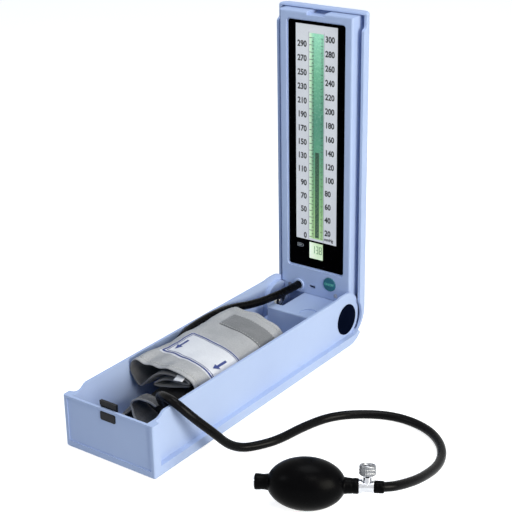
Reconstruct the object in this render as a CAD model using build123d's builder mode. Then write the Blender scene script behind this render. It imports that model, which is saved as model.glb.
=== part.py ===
from build123d import *
from math import acos, asin, atan2, cos, degrees, radians, sin, sqrt, tan
import os

os.makedirs("parts", exist_ok=True)

# Desk blood-pressure meter: a tray with a hinged display lid, a cuff, two hoses and a hand bulb.
# X runs across the tray, -Y is its front, +Y its hinge end, Z is up.
# The origin is the centre of the flat underside, on the surface that the feet stand on.

# Driving sizes of the tray, in millimetres
TRAY_WIDTH = 100.0  # over the bottom band and the front posts
TRAY_LENGTH = 302.0  # front face to hinge axis
AXIS_HEIGHT = 28.5  # hinge axis above the tray's underside
FOOT_RISE = 0.3  # underside above the standing surface
SIDE_STEP = 5.4  # how far each side wall is recessed
SIDE_WIDTH = TRAY_WIDTH - 2 * SIDE_STEP
WALL = 2.4
FRONT_WALL = 2.6
FLOOR = 2.4
BAND_HEIGHT = 10.0
FRONT_HEIGHT = 50.4
SIDE_HEIGHT = 54.6
EAR_HEIGHT = 55.7
POST_LENGTH = 8.5
POST_BLEND = 4.0
DROP_LENGTH = 11.5  # the S-curve from the posts up to the side walls
EAR_START = 17.0  # in front of the hinge axis
EAR_RAMP = 9.0
EAR_RADIUS = 21.5
CORNER_RADIUS = 27.0  # rear lower corner of the band
CUT_ANGLE = -47.0  # where the band ends and the lid's shell begins
BARREL_RADIUS = 24.5
BARREL_WALL = 3.5
BARREL_TOP_ANGLE = 42.0
BARREL_LAP = 1.2  # how far the barrel runs into each side wall
PANEL_DEPTH = 1.0
PANEL_SIDE = 4.0
PANEL_TOP = 2.2
PANEL_BOTTOM = 7.0

# Driving sizes of the lid
LID_INSET = 1.0
LID_WIDTH = TRAY_WIDTH - 2 * LID_INSET
LID_WALL = 2.6
LID_BACK = 33.0  # hinge axis to the lid's outer back
LID_EDGE_RADIUS = 8.0
LID_INNER_EDGE = 3.2
LID_TOP_RADIUS = 3.0
RIM_FRONT = 18.0  # hinge axis to the rim's front edge
RIM_STEP_LENGTH = 6.0
RIM_STEP_END = 10.0  # full step before the lid's free end
LID_HEEL = 3.0  # height of the heel's upper end over the axis
FACE = 11.0  # hinge axis to the display housing's face
HOUSING_INSET = 7.8
HOUSING_WIDTH = LID_WIDTH - 2 * HOUSING_INSET
HOUSING_PLATE = 2.8
HOUSING_WALL = 2.0
HOUSING_TOP_GAP = 0.8
HOUSING_EDGE = 2.0
LID_GAP = 0.4  # between the closed rim and the posts
TONGUE_BOTTOM = 10.9
CHEEK_DEPTH = 7.3
CHEEK_INNER = SIDE_WIDTH / 2 - CHEEK_DEPTH
CHEEK_RADIUS = 21.0
CHEEK_RECESS = 0.8
CHEEK_LIP = 2.5
HINGE_GAP = 0.9  # around the cheeks

# Hinge
PIN_RADIUS = 3.0
PIN_FIT = 0.05
PIN_INNER = CHEEK_INNER - 2.9
CAP_RADIUS = 15.6
CAP_THICK = 1.4
ARM_OUTER = CHEEK_INNER - 0.9
ARM_THICK = 1.2
HUB_RADIUS = 5.2
YOKE_THICK = 1.0
YOKE_LOW = 12.2
YOKE_HIGH = 17.9
WASHER_RADIUS = 7.5
WASHER_PLAY = 0.05

# Display
WINDOW_WIDTH = HOUSING_WIDTH - 15.4
WINDOW_LOW = 38.3
WINDOW_HIGH = TRAY_LENGTH - 10.9
WINDOW_THICK = 1.5
WINDOW_SUNK = 0.4
WINDOW_CORNER = 4.0
WINDOW_LEDGE = 1.3
PLAY = 0.15
PLATE_THICK = 0.7
SCALE_WIDTH = 47.2
SCALE_LOW = 69.1
SCALE_HIGH = WINDOW_HIGH - 4.6
COLUMN_WIDTH = 16.0
COLUMN_LOW = 71.5
COLUMN_HIGH = SCALE_HIGH - 8.0
READOUT_WIDTH = 15.8
READOUT_LOW = 49.9
READOUT_HIGH = 67.0
GLASS_THICK = 1.6
LIGHT_THICK = 2.4
LIGHT_MARGIN = 1.2
BOARD_FRONT = 17.3
BOARD_THICK = 1.6
BOARD_WIDTH = HOUSING_WIDTH - 16.0
BOARD_LOW = 35.5
BOARD_HIGH = TRAY_LENGTH - 6.4
LIGHT_POST = 1.8

# Controls and openings of the display housing
BUTTON_X = 17.5
BUTTON_Z = 27.1
BUTTON_RADIUS = 7.2
BUTTON_PROUD = 0.9
BUTTON_TRAVEL = 0.8
BUTTON_PLAY = 0.2
BUTTON_FLANGE = 1.0
PORT_X = -19.4
PORT_Z = 18.8
PORT_RADIUS = 6.2
PORT_NECK = 5.2
PORT_PROUD = 1.2
PORT_DEPTH = 16.0
PORT_SEAT = 12.6
PORT_BORE = 4.3
SLOT_X = -3.4
SLOT_Z = 19.6
SLOT_WIDTH = 7.6
SLOT_HEIGHT = 3.1
SCREW_X = 24.8
SCREW_Z = 16.1
NOTCH_WIDTH = 20.6
NOTCH_LOW = TRAY_LENGTH - 6.6
BOSS_X = HOUSING_WIDTH / 2 - 5.0
BOSS_ROWS = (44.0, 168.0, TRAY_LENGTH - 16.0)
BOSS_RADIUS = 2.9
BOSS_FOOT = 3.7

# Latch
LATCH_WIDTH = 16.8
LATCH_LOW = 39.2
LATCH_HIGH = 47.6
LATCH_PLAY = 0.2
LATCH_TRAVEL = 1.2
HOOK_WIDTH = 18.0
HOOK_THICK = 1.6
HOOK_LOW = 34.0
HOOK_TOP = 56.6
HOOK_LIP_LOW = 52.4
HOOK_REACH = 1.0
LATCH_SPRING_RADIUS = 2.4
LATCH_SPRING_WIRE = 0.6

# Rear cover, battery bay and feet
COVER_HEIGHT = 39.0
COVER_FRONT = 37.0  # in front of the hinge axis
COVER_BACK = 14.0  # behind it
COVER_WALL = 2.0
COVER_LEFT = -24.6
COVER_RIGHT = SIDE_WIDTH / 2 - 2.7
COVER_MID = CHEEK_INNER - 3.3
COVER_STEP_HEIGHT = 22.0
DISH_RADIUS = 8.8  # dish in the platform over which the power button closes
DISH_DEPTH = 0.9
POCKET_RIGHT = -13.0
POCKET_FRONT = 27.0
POCKET_FLOOR = 24.0
BATTERY_RADIUS = 7.1
BATTERY_LENGTH = 49.5
DOOR_WIDTH = 58.0
DOOR_FRONT = 37.0
DOOR_BACK = 4.6
DOOR_THICK = 2.0
DOOR_TRAVEL = 6.0
DOOR_PLAY = 0.2
DOOR_TAB = 1.0
DOOR_TAB_LENGTH = 5.4
DOOR_TAB_LOW = 1.0
DOOR_TAB_THICK = 0.7
HOLDER_WALL = 1.4
SCREW_RADIUS = 1.1
SCREW_HEAD = 2.4
SCREW_SUNK = 1.3
SCREW_LENGTH = 8.0
FOOT_RADIUS = 5.2
FOOT_SEAT = 0.8
FOOT_X = TRAY_WIDTH / 2 - 12.0

# Cuff and its inner bag, heights over the tray's underside
CUFF_FRONT = 76.0 - TRAY_LENGTH  # from the hinge axis
CUFF_STEP = 106.0 - TRAY_LENGTH  # behind this the cuff leaves room for the hose
CUFF_BACK = -95.0
CLOTH = 4.0
CUFF_STEP_IN = 6.5
BAG_FRONT = CUFF_FRONT - 4.0
LABEL_THICK = 0.5
STRAP_THICK = 0.9
TAIL_CLOTH = 2.4

# Hoses
HOSE_RADIUS = 4.0
HOSE_BORE = 2.0

# Bulb and valve
BULB_X = 173.7
BULB_Y = -111.7
BULB_ANGLE = 29.6
BULB_HALF = 30.7
BULB_RADIUS = 21.6
BULB_WALL = 2.6
BULB_CLEAR = 0.2
NECK_LEFT = 5.8
NECK_RIGHT = 6.3
NECK_LEFT_END = 36.4
NECK_RIGHT_END = 41.6
STEM_RADIUS = 3.6
CHECK_END = 40.6
VALVE_END = 53.1
VALVE_RADIUS = 5.0
KNOB_LEAN = 18.0
KNOB_RADIUS = 6.8
KNOB_HEIGHT = 9.0
KNOB_BASE = 8.6
KNOB_SPINDLE = 1.6
KNOB_TURNS_PLAY = 0.05

# Worked out from the driving sizes
AXIS_Y = TRAY_LENGTH / 2
FRONT_Y = -TRAY_LENGTH / 2
BOTTOM = FOOT_RISE
AXIS_Z = BOTTOM + AXIS_HEIGHT
FRONT_TOP = BOTTOM + FRONT_HEIGHT
SIDE_TOP = BOTTOM + SIDE_HEIGHT
EAR_TOP = BOTTOM + EAR_HEIGHT
FLOOR_TOP = BOTTOM + FLOOR
BAND_TOP = BOTTOM + BAND_HEIGHT
SIDE_OUT = SIDE_WIDTH / 2
SIDE_IN = SIDE_OUT - WALL
BARREL_INNER = BARREL_RADIUS - BARREL_WALL
AXIS_LINE = Axis((0, AXIS_Y, AXIS_Z), (1, 0, 0))
LID_END = TRAY_LENGTH  # the lid ends flush with the tray's front
RIM_STEPPED = FRONT_TOP - AXIS_Z + LID_GAP
HOUSING_TOP = LID_END - LID_WALL - HOUSING_TOP_GAP
HOUSING_BACK = LID_BACK - LID_WALL - 0.1
PLATE_BACK = FACE + HOUSING_PLATE
WINDOW_FRONT = FACE + WINDOW_SUNK
WINDOW_BACK = WINDOW_FRONT + WINDOW_THICK
INNER_FRONT = WINDOW_BACK + 0.1  # front of the scale, the glasses and the mask


def at(y, z):
    """A point of the side view, from its distances behind and above the hinge axis."""
    return (AXIS_Y + y, AXIS_Z + z)


def polar(radius, angle):
    """A point of the side view, from its radius and angle about the hinge axis."""
    return at(radius * cos(radians(angle)), radius * sin(radians(angle)))


def s_curve(start, end):
    """Two tangent arcs that join two heights with level ends, for an open outline."""
    middle = ((start[0] + end[0]) / 2, (start[1] + end[1]) / 2)
    TangentArc(start, middle, tangent=(1, 0))
    TangentArc(end, middle, tangent=(-1, 0))


def save(part, name):
    """Labels a finished piece and writes its file."""
    part.label = name
    export_step(part, f"parts/{name}.step")


def corner_hit(angle):
    """Radius about the hinge axis at which a direction meets the band's rear corner arc."""
    drop = AXIS_HEIGHT - CORNER_RADIUS
    along = -drop * sin(radians(angle))
    return along + sqrt(along**2 + CORNER_RADIUS**2 - drop**2)


# Base tray: recessed side walls, proud band and posts, ears and the barrel behind the hinge
band_meets_ear = sqrt(BARREL_INNER**2 - (AXIS_HEIGHT - BAND_HEIGHT) ** 2)
door_slot_front = DOOR_FRONT + DOOR_TRAVEL + DOOR_PLAY
battery_ledge = BOTTOM + DOOR_THICK + DOOR_PLAY
bay_top = battery_ledge + 1.4
door_tabs = (-31.0, -13.0)
cover_boss_places = [(COVER_RIGHT - 5.9, -29.5), (3.4 - COVER_MID, -1.2), (25.0, -1.2)]
with BuildPart() as base_tray:
    with BuildSketch(Plane.YZ) as side_view:
        with BuildLine():
            drop_start = (FRONT_Y + POST_LENGTH + POST_BLEND, FRONT_TOP)
            drop_end = (drop_start[0] + DROP_LENGTH, SIDE_TOP)
            ear_low = (AXIS_Y - EAR_START, SIDE_TOP)
            ear_high = (ear_low[0] + EAR_RAMP, EAR_TOP)
            ear_side = (AXIS_Y + EAR_RADIUS, EAR_TOP - EAR_RADIUS)
            Polyline((AXIS_Y, BOTTOM), (FRONT_Y, BOTTOM), (FRONT_Y, FRONT_TOP), drop_start)
            s_curve(drop_start, drop_end)
            Line(drop_end, ear_low)
            s_curve(ear_low, ear_high)
            Line(ear_high, (AXIS_Y, EAR_TOP))
            TangentArc((AXIS_Y, EAR_TOP), ear_side, tangent=(1, 0))
            Line(ear_side, at(EAR_RADIUS, 0))
            TangentArc(at(EAR_RADIUS, 0), at(0, -EAR_RADIUS), tangent=(0, -1))
            Line(at(0, -EAR_RADIUS), (AXIS_Y, BOTTOM))
        make_face()
    extrude(amount=SIDE_OUT, both=True)
    with BuildSketch(Plane.YZ):
        with BuildLine():
            cut_out = polar(corner_hit(CUT_ANGLE), CUT_ANGLE)
            band_join = at(band_meets_ear, BAND_HEIGHT - AXIS_HEIGHT)
            join_angle = degrees(atan2(BAND_HEIGHT - AXIS_HEIGHT, band_meets_ear))
            Polyline((AXIS_Y, BOTTOM), (FRONT_Y, BOTTOM), (FRONT_Y, BAND_TOP), band_join)
            ThreePointArc(
                band_join,
                polar(BARREL_INNER, (join_angle + CUT_ANGLE) / 2),
                polar(BARREL_INNER, CUT_ANGLE),
            )
            Line(polar(BARREL_INNER, CUT_ANGLE), cut_out)
            TangentArc((AXIS_Y, BOTTOM), cut_out, tangent=(1, 0))
        make_face()
    extrude(amount=TRAY_WIDTH / 2, both=True)
    with BuildSketch(Plane.XY.offset(BOTTOM)):
        with Locations((0, FRONT_Y + POST_LENGTH / 2)):
            Rectangle(TRAY_WIDTH, POST_LENGTH)
    extrude(amount=FRONT_HEIGHT)
    post_corners = (
        base_tray.edges()
        .filter_by(Axis.Z)
        .filter_by(lambda e: abs(e.center().Y - FRONT_Y - POST_LENGTH) < 0.01)
        .filter_by(lambda e: abs(abs(e.center().X) - SIDE_OUT) < 0.01)
    )
    fillet(post_corners, POST_BLEND)
    front_corners = (
        base_tray.edges()
        .filter_by(Axis.Z)
        .filter_by(lambda e: abs(e.center().Y - FRONT_Y) < 0.01)
    )
    fillet(front_corners, 1.6)
    with BuildSketch(Plane.YZ):
        with BuildLine():
            inner_front = FRONT_Y + FRONT_WALL
            over = EAR_TOP + 10
            behind = AXIS_Y + LID_BACK
            lower = polar(BARREL_INNER, CUT_ANGLE)
            upper = polar(BARREL_INNER, BARREL_TOP_ANGLE)
            Polyline((AXIS_Y, FLOOR_TOP), (inner_front, FLOOR_TOP), (inner_front, over), (behind, over))
            Polyline((behind, over), polar(BARREL_RADIUS * 1.4, BARREL_TOP_ANGLE), upper)
            ThreePointArc(upper, at(BARREL_INNER, 0), lower)
            TangentArc((AXIS_Y, FLOOR_TOP), lower, tangent=(1, 0))
        make_face()
    extrude(amount=SIDE_IN, both=True, mode=Mode.SUBTRACT)
    with BuildSketch(Plane.YZ):
        with BuildLine():
            low = CUT_ANGLE - 3
            middle_angle = (low + BARREL_TOP_ANGLE) / 2
            ThreePointArc(
                polar(BARREL_INNER, low), polar(BARREL_INNER, middle_angle), polar(BARREL_INNER, BARREL_TOP_ANGLE)
            )
            Line(polar(BARREL_INNER, BARREL_TOP_ANGLE), polar(BARREL_RADIUS, BARREL_TOP_ANGLE))
            ThreePointArc(
                polar(BARREL_RADIUS, BARREL_TOP_ANGLE), polar(BARREL_RADIUS, middle_angle), polar(BARREL_RADIUS, low)
            )
            Line(polar(BARREL_RADIUS, low), polar(BARREL_INNER, low))
        make_face()
    extrude(amount=SIDE_OUT - BARREL_LAP, both=True)
    for side in (-1, 1):
        with BuildSketch(Plane.YZ.offset(side * CHEEK_INNER)):
            with Locations((AXIS_Y, AXIS_Z)):
                Circle(CHEEK_RADIUS)
            with Locations(at(-CHEEK_RADIUS / 2 + 4, -AXIS_HEIGHT / 2 + FLOOR / 2)):
                Rectangle(CHEEK_RADIUS + 8, AXIS_HEIGHT - FLOOR)
        extrude(amount=side * (SIDE_IN - CHEEK_INNER))
        with BuildSketch(Plane.YZ.offset(side * CHEEK_INNER)):
            with Locations((AXIS_Y, AXIS_Z)):
                Circle(CHEEK_RADIUS - CHEEK_LIP)
        extrude(amount=side * CHEEK_RECESS, mode=Mode.SUBTRACT)
    with BuildSketch(Plane.YZ):
        with Locations((AXIS_Y, AXIS_Z)):
            Circle(PIN_RADIUS)
    extrude(amount=SIDE_OUT, both=True, mode=Mode.SUBTRACT)
    with BuildSketch(Plane.XZ.offset(-FRONT_Y)):
        panel_height = FRONT_HEIGHT - PANEL_TOP - PANEL_BOTTOM
        with Locations((0, BOTTOM + PANEL_BOTTOM + panel_height / 2)):
            Rectangle(TRAY_WIDTH - 2 * PANEL_SIDE, panel_height)
    extrude(amount=-PANEL_DEPTH, mode=Mode.SUBTRACT)
    with BuildSketch(Plane.XZ.offset(-FRONT_Y)):
        with Locations((0, BOTTOM + (LATCH_LOW + LATCH_HIGH) / 2)):
            RectangleRounded(LATCH_WIDTH + 2 * LATCH_PLAY, LATCH_HIGH - LATCH_LOW + 2 * LATCH_PLAY, 2.2)
    extrude(amount=-FRONT_WALL, mode=Mode.SUBTRACT)
    with BuildSketch(Plane.XY.offset(FLOOR_TOP)):
        with Locations((0, AXIS_Y - (door_slot_front + 2 + DOOR_BACK - 2) / 2)):
            Rectangle(DOOR_WIDTH + 8, door_slot_front + 2 - DOOR_BACK + 2)
    extrude(amount=bay_top - FLOOR_TOP)
    with BuildSketch(Plane.XY.offset(BOTTOM)):
        with Locations((0, AXIS_Y - (door_slot_front + DOOR_BACK - DOOR_PLAY) / 2)):
            Rectangle(DOOR_WIDTH + 2 * DOOR_PLAY, door_slot_front - DOOR_BACK + DOOR_PLAY)
    extrude(amount=DOOR_THICK + DOOR_PLAY, mode=Mode.SUBTRACT)
    with BuildSketch(Plane.XY.offset(BOTTOM)):
        with Locations((0, AXIS_Y - (DOOR_FRONT + DOOR_BACK) / 2)):
            Rectangle(DOOR_WIDTH - 5, DOOR_FRONT - DOOR_BACK - 2)
    extrude(amount=bay_top - BOTTOM, mode=Mode.SUBTRACT)
    foot_places = [(x, y) for x in (-FOOT_X, FOOT_X) for y in (FRONT_Y + 16, AXIS_Y - 14)]
    with BuildSketch(Plane.XY.offset(BOTTOM)):
        with Locations(*foot_places):
            Circle(FOOT_RADIUS)
    extrude(amount=FOOT_SEAT, mode=Mode.SUBTRACT)
    with BuildSketch(Plane.XY.offset(BOTTOM)):
        with Locations(*[(x, AXIS_Y + y) for x, y in cover_boss_places]):
            Circle(SCREW_RADIUS + 0.2)
    extrude(amount=FLOOR + 2, mode=Mode.SUBTRACT)
    with BuildSketch(Plane.XY.offset(BOTTOM)):
        with Locations(*[(x, AXIS_Y + y) for x, y in cover_boss_places]):
            Circle(SCREW_HEAD + 0.2)
    extrude(amount=SCREW_SUNK, mode=Mode.SUBTRACT)
    for side in (-1, 1):
        for tab in door_tabs:
            with BuildSketch(Plane.XY.offset(BOTTOM + DOOR_TAB_LOW - DOOR_PLAY)):
                with Locations((side * DOOR_WIDTH / 2, AXIS_Y + tab - DOOR_TRAVEL / 2)):
                    Rectangle(2 * DOOR_TAB + 4 * DOOR_PLAY, DOOR_TAB_LENGTH + DOOR_TRAVEL + 2 * DOOR_PLAY)
            extrude(amount=DOOR_TAB_THICK + 2 * DOOR_PLAY, mode=Mode.SUBTRACT)
            with BuildSketch(Plane.XY.offset(BOTTOM)):
                with Locations((side * DOOR_WIDTH / 2, AXIS_Y + tab - DOOR_TRAVEL)):
                    Rectangle(2 * DOOR_TAB + 4 * DOOR_PLAY, DOOR_TAB_LENGTH + 2 * DOOR_PLAY)
            extrude(amount=DOOR_TAB_LOW, mode=Mode.SUBTRACT)
    long_bottom = (
        base_tray.edges()
        .filter_by(Axis.Y)
        .filter_by(lambda e: abs(e.center().Z - BOTTOM) < 0.01 and abs(abs(e.center().X) - TRAY_WIDTH / 2) < 0.01)
    )
    fillet(long_bottom, 2.5)
save(base_tray.part, "base_tray")

# Rear cover: the platform over the battery bay, open below, with a pocket under the lid's hose
cover_top = COVER_HEIGHT - AXIS_HEIGHT
cover_low = FLOOR - AXIS_HEIGHT
step_top = COVER_STEP_HEIGHT - AXIS_HEIGHT
wall_slant = [(COVER_BACK, -13.5), (-1.0, cover_low)]
room_slant = [(COVER_BACK - COVER_WALL, -12.6), (-5.2, cover_low - 1)]


def side_box(x_low, x_high, front, top, slant):
    """A private block between two X planes, its rear lower edge cut away along a slant."""
    outline = [(-front, slant[1][1]), slant[1], slant[0], (slant[0][0], top), (-front, top)]
    face = make_face(Polyline(*[at(y, z) for y, z in outline], close=True))
    return extrude(Plane.YZ.offset(x_low) * Pos(0, 0, 0) * face, amount=x_high - x_low)


def block(x_low, x_high, y_low, y_high, z_low, z_high):
    """A private block from its limits; Y and Z are from the hinge axis."""
    size = (x_high - x_low, y_high - y_low, z_high - z_low)
    place = ((x_low + x_high) / 2, AXIS_Y + (y_low + y_high) / 2, AXIS_Z + (z_low + z_high) / 2)
    return Pos(*place) * Box(*size, mode=Mode.PRIVATE)


cover_outside = (
    side_box(COVER_LEFT, COVER_MID, COVER_FRONT, cover_top, wall_slant)
    + side_box(-COVER_MID, COVER_LEFT, COVER_FRONT, step_top, wall_slant)
    + block(COVER_MID, COVER_RIGHT, -COVER_FRONT, -22.0, cover_low, cover_top)
    - block(COVER_LEFT, POCKET_RIGHT, -POCKET_FRONT, COVER_BACK, POCKET_FLOOR - AXIS_HEIGHT, cover_top)
)
room_top = cover_top - COVER_WALL
room_front = COVER_FRONT - COVER_WALL
pocket_roof = POCKET_FLOOR - COVER_WALL - AXIS_HEIGHT
pocket_side = POCKET_RIGHT + COVER_WALL
cover_rooms = (
    side_box(pocket_side, COVER_MID - COVER_WALL, room_front, room_top, room_slant)
    + side_box(-COVER_MID + COVER_WALL, pocket_side, room_front, step_top - COVER_WALL, room_slant)
    + block(COVER_LEFT + COVER_WALL, pocket_side, -room_front, -POCKET_FRONT - COVER_WALL, pocket_roof, room_top)
    + block(30.0, COVER_RIGHT - COVER_WALL, -room_front, -24.0, cover_low - 1, room_top)
)
plate_notch = block(-DOOR_WIDTH / 2 - 4.1, DOOR_WIDTH / 2 + 4.1, -door_slot_front - 2.1, -2.5, cover_low - 1, bay_top - AXIS_Z + 0.1)
with BuildPart() as rear_cover:
    add(cover_outside)
    add(cover_rooms, mode=Mode.SUBTRACT)
    front_edges = rear_cover.edges().filter_by(Axis.X).filter_by(
        lambda e: abs(e.center().Z - AXIS_Z - cover_top) < 0.01 and abs(e.center().Y - AXIS_Y + COVER_FRONT) < 0.01
    )
    fillet(front_edges, 1.6)
    add(plate_notch, mode=Mode.SUBTRACT)
    for (x, y), roof in zip(cover_boss_places, (room_top, step_top - COVER_WALL, room_top)):
        with BuildSketch(Plane.XY.offset(bay_top + 0.3)):
            with Locations((x, AXIS_Y + y)):
                Circle(3.0)
        extrude(amount=AXIS_Z + roof + 0.5 - bay_top - 0.3)
        with BuildSketch(Plane.XY.offset(BOTTOM + FLOOR)):
            with Locations((x, AXIS_Y + y)):
                Circle(SCREW_RADIUS)
        extrude(amount=SCREW_LENGTH + 2, mode=Mode.SUBTRACT)
    with BuildSketch(Plane.XY.offset(AXIS_Z + cover_top)):
        with Locations((BUTTON_X, AXIS_Y - BUTTON_Z)):
            Circle(DISH_RADIUS)
    extrude(amount=-DISH_DEPTH, mode=Mode.SUBTRACT)
save(rear_cover.part, "rear_cover")

# Screws that hold the rear cover, from below
with BuildPart() as tray_screws:
    for x, y in cover_boss_places:
        with BuildSketch(Plane.XY.offset(BOTTOM + 0.3)):
            with Locations((x, AXIS_Y + y)):
                Circle(SCREW_HEAD)
        extrude(amount=SCREW_SUNK - 0.3)
        with BuildSketch(Plane.XY.offset(BOTTOM + SCREW_SUNK)):
            with Locations((x, AXIS_Y + y)):
                Circle(SCREW_RADIUS)
        extrude(amount=SCREW_LENGTH)
        with BuildSketch(Plane.XY.offset(BOTTOM + 0.3)):
            with Locations((x, AXIS_Y + y)):
                Rectangle(2.6, 0.6)
                Rectangle(0.6, 2.6)
        extrude(amount=0.6, mode=Mode.SUBTRACT)
save(tray_screws.part, "tray_screws")

# Battery door: slides forward off its four tabs
with BuildPart() as battery_cover:
    with BuildSketch(Plane.XY.offset(BOTTOM)):
        with Locations((0, AXIS_Y - (DOOR_FRONT + DOOR_BACK) / 2)):
            Rectangle(DOOR_WIDTH, DOOR_FRONT - DOOR_BACK)
    extrude(amount=DOOR_THICK)
    for tab in door_tabs:
        with BuildSketch(Plane.XY.offset(BOTTOM + DOOR_TAB_LOW)):
            with Locations((0, AXIS_Y + tab)):
                Rectangle(DOOR_WIDTH + 2 * DOOR_TAB, DOOR_TAB_LENGTH)
        extrude(amount=DOOR_TAB_THICK)
    for groove in range(3):
        with BuildSketch(Plane.XY.offset(BOTTOM)):
            with Locations((0, AXIS_Y - DOOR_BACK - 5 - groove * 2.4)):
                SlotOverall(16, 1.2)
        extrude(amount=0.5, mode=Mode.SUBTRACT)
save(battery_cover.part, "battery_cover")

# Two round cells side by side across the tray
battery_rows = (-27.3, -12.9)
battery_z = BOTTOM + DOOR_THICK + 0.4 + BATTERY_RADIUS
with BuildPart() as batteries:
    for row, sign in zip(battery_rows, (1, -1)):
        with BuildSketch(Plane.YZ.offset(-sign * BATTERY_LENGTH / 2)):
            with Locations((AXIS_Y + row, battery_z)):
                Circle(BATTERY_RADIUS)
        extrude(amount=sign * (BATTERY_LENGTH - 1.4))
        with BuildSketch(Plane.YZ.offset(sign * (BATTERY_LENGTH / 2 - 1.4))):
            with Locations((AXIS_Y + row, battery_z)):
                Circle(2.7)
        extrude(amount=sign * 1.4)
save(batteries.part, "batteries")

# Battery holder: two end walls, a roof and a rib between the cells
holder_in = 26.6
holder_out = holder_in + HOLDER_WALL
holder_low = bay_top - AXIS_Z
holder_roof = battery_z + BATTERY_RADIUS + 0.3 - AXIS_Z
with BuildPart() as battery_holder:
    add(block(-holder_out, -holder_in, -34.8, -5.4, holder_low, holder_roof))
    add(block(holder_in, holder_out, -34.8, -5.4, holder_low, holder_roof))
    add(block(-holder_out, holder_out, -34.8, -5.4, holder_roof, holder_roof + HOLDER_WALL))
    add(block(-20, 20, -20.6, -19.6, holder_roof - 3.4, holder_roof))
save(battery_holder.part, "battery_holder")

# Contact leaves at the ends of the cells
with BuildPart() as battery_contacts:
    for sign in (-1, 1):
        for row in battery_rows:
            plate = sorted((sign * (holder_in - 0.5), sign * holder_in))
            bump = sorted((sign * (BATTERY_LENGTH / 2 + 0.05), sign * (holder_in - 0.5)))
            z = battery_z - AXIS_Z
            add(block(*plate, row - 5, row + 5, z - 4.5, z + 4.5))
            add(block(*bump, row - 1.6, row + 1.6, z - 1.6, z + 1.6))
save(battery_contacts.part, "battery_contacts")

# Four rubber feet
with BuildPart() as rubber_feet:
    with BuildSketch(Plane.XY):
        with Locations(*foot_places):
            Circle(FOOT_RADIUS)
    extrude(amount=FOOT_SEAT + FOOT_RISE)
    chamfer(rubber_feet.faces().filter_by(Axis.Z).sort_by(Axis.Z)[:4].edges(), 0.25)
save(rubber_feet.part, "rubber_feet")

# Hinge pins, their washers and the outer caps
with BuildPart() as hinge_pins:
    for side in (-1, 1):
        with BuildSketch(Plane.YZ.offset(side * PIN_INNER)):
            with Locations((AXIS_Y, AXIS_Z)):
                Circle(PIN_RADIUS)
        extrude(amount=side * (SIDE_OUT - PIN_INNER))
    chamfer(hinge_pins.faces().filter_by(lambda f: abs(abs(f.center().X) - PIN_INNER) < 0.01).edges(), 0.4)
save(hinge_pins.part, "hinge_pins")

with BuildPart() as friction_washers:
    washer_in = ARM_OUTER + WASHER_PLAY
    washer_out = CHEEK_INNER + CHEEK_RECESS - WASHER_PLAY
    for side in (-1, 1):
        with BuildSketch(Plane.YZ.offset(side * washer_in)):
            with Locations((AXIS_Y, AXIS_Z)):
                Circle(WASHER_RADIUS)
                Circle(PIN_RADIUS + PIN_FIT, mode=Mode.SUBTRACT)
        extrude(amount=side * (washer_out - washer_in))
save(friction_washers.part, "friction_washers")

with BuildPart() as hinge_caps:
    for side in (-1, 1):
        with BuildSketch(Plane.YZ.offset(side * SIDE_OUT)):
            with Locations((AXIS_Y, AXIS_Z)):
                Circle(CAP_RADIUS)
        extrude(amount=side * CAP_THICK)
    fillet(hinge_caps.faces().filter_by(lambda f: abs(abs(f.center().X) - SIDE_OUT - CAP_THICK) < 0.01).edges(), 0.9)
save(hinge_caps.part, "hinge_caps")

# Hinge yoke: a cross strip behind the housing's tongue with an arm down to each pin
with BuildPart() as hinge_yoke:
    yoke_front = PLATE_BACK + 0.1
    add(block(-ARM_OUTER, ARM_OUTER, yoke_front, yoke_front + YOKE_THICK, YOKE_LOW, YOKE_HIGH))
    for side in (-1, 1):
        with BuildSketch(Plane.YZ.offset(side * (ARM_OUTER - ARM_THICK))):
            with BuildLine():
                Polyline(
                    at(yoke_front, YOKE_HIGH),
                    at(yoke_front, 10.6),
                    at(4.0, 4.0),
                    at(-3.0, -1.0),
                    at(3.0, -4.0),
                    at(9.0, 1.0),
                    at(17.6, 8.6),
                    at(17.6, 10.6),
                    at(yoke_front + YOKE_THICK, YOKE_LOW + 1),
                    at(yoke_front + YOKE_THICK, YOKE_HIGH),
                    close=True,
                )
            make_face()
            with Locations((AXIS_Y, AXIS_Z)):
                Circle(HUB_RADIUS)
                Circle(PIN_RADIUS + PIN_FIT, mode=Mode.SUBTRACT)
        extrude(amount=side * ARM_THICK)
    with BuildSketch(Plane.XZ.offset(-AXIS_Y)):
        with Locations((PORT_X, AXIS_Z + PORT_Z)):
            Circle(PORT_NECK + 0.5)
        with Locations((SCREW_X, AXIS_Z + SCREW_Z), (-SCREW_X - 5.6, AXIS_Z + SCREW_Z)):
            Circle(SCREW_RADIUS)
    extrude(amount=-20, mode=Mode.SUBTRACT)
save(hinge_yoke.part, "hinge_yoke")

# Latch bracket behind the front wall, and its spring
latch_back = -TRAY_LENGTH + FRONT_WALL + 0.1 + HOOK_THICK
bracket_top = COVER_HEIGHT - AXIS_HEIGHT
bracket_back = -TRAY_LENGTH + 12.0
spring_z = 36.5 - AXIS_HEIGHT
with BuildPart() as latch_bracket:
    inner = -TRAY_LENGTH + FRONT_WALL
    half = HOOK_WIDTH / 2 + 0.2
    low = 30.0 - AXIS_HEIGHT
    add(block(-half - 2, -half, inner, bracket_back, low, bracket_top))
    add(block(half, half + 2, inner, bracket_back, low, bracket_top))
    add(block(-half, half, bracket_back - 1.8, bracket_back, low, bracket_top))
    add(block(-half, half, inner, bracket_back - 1.8, low, low + 1.6))
save(latch_bracket.part, "latch_bracket")

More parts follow.
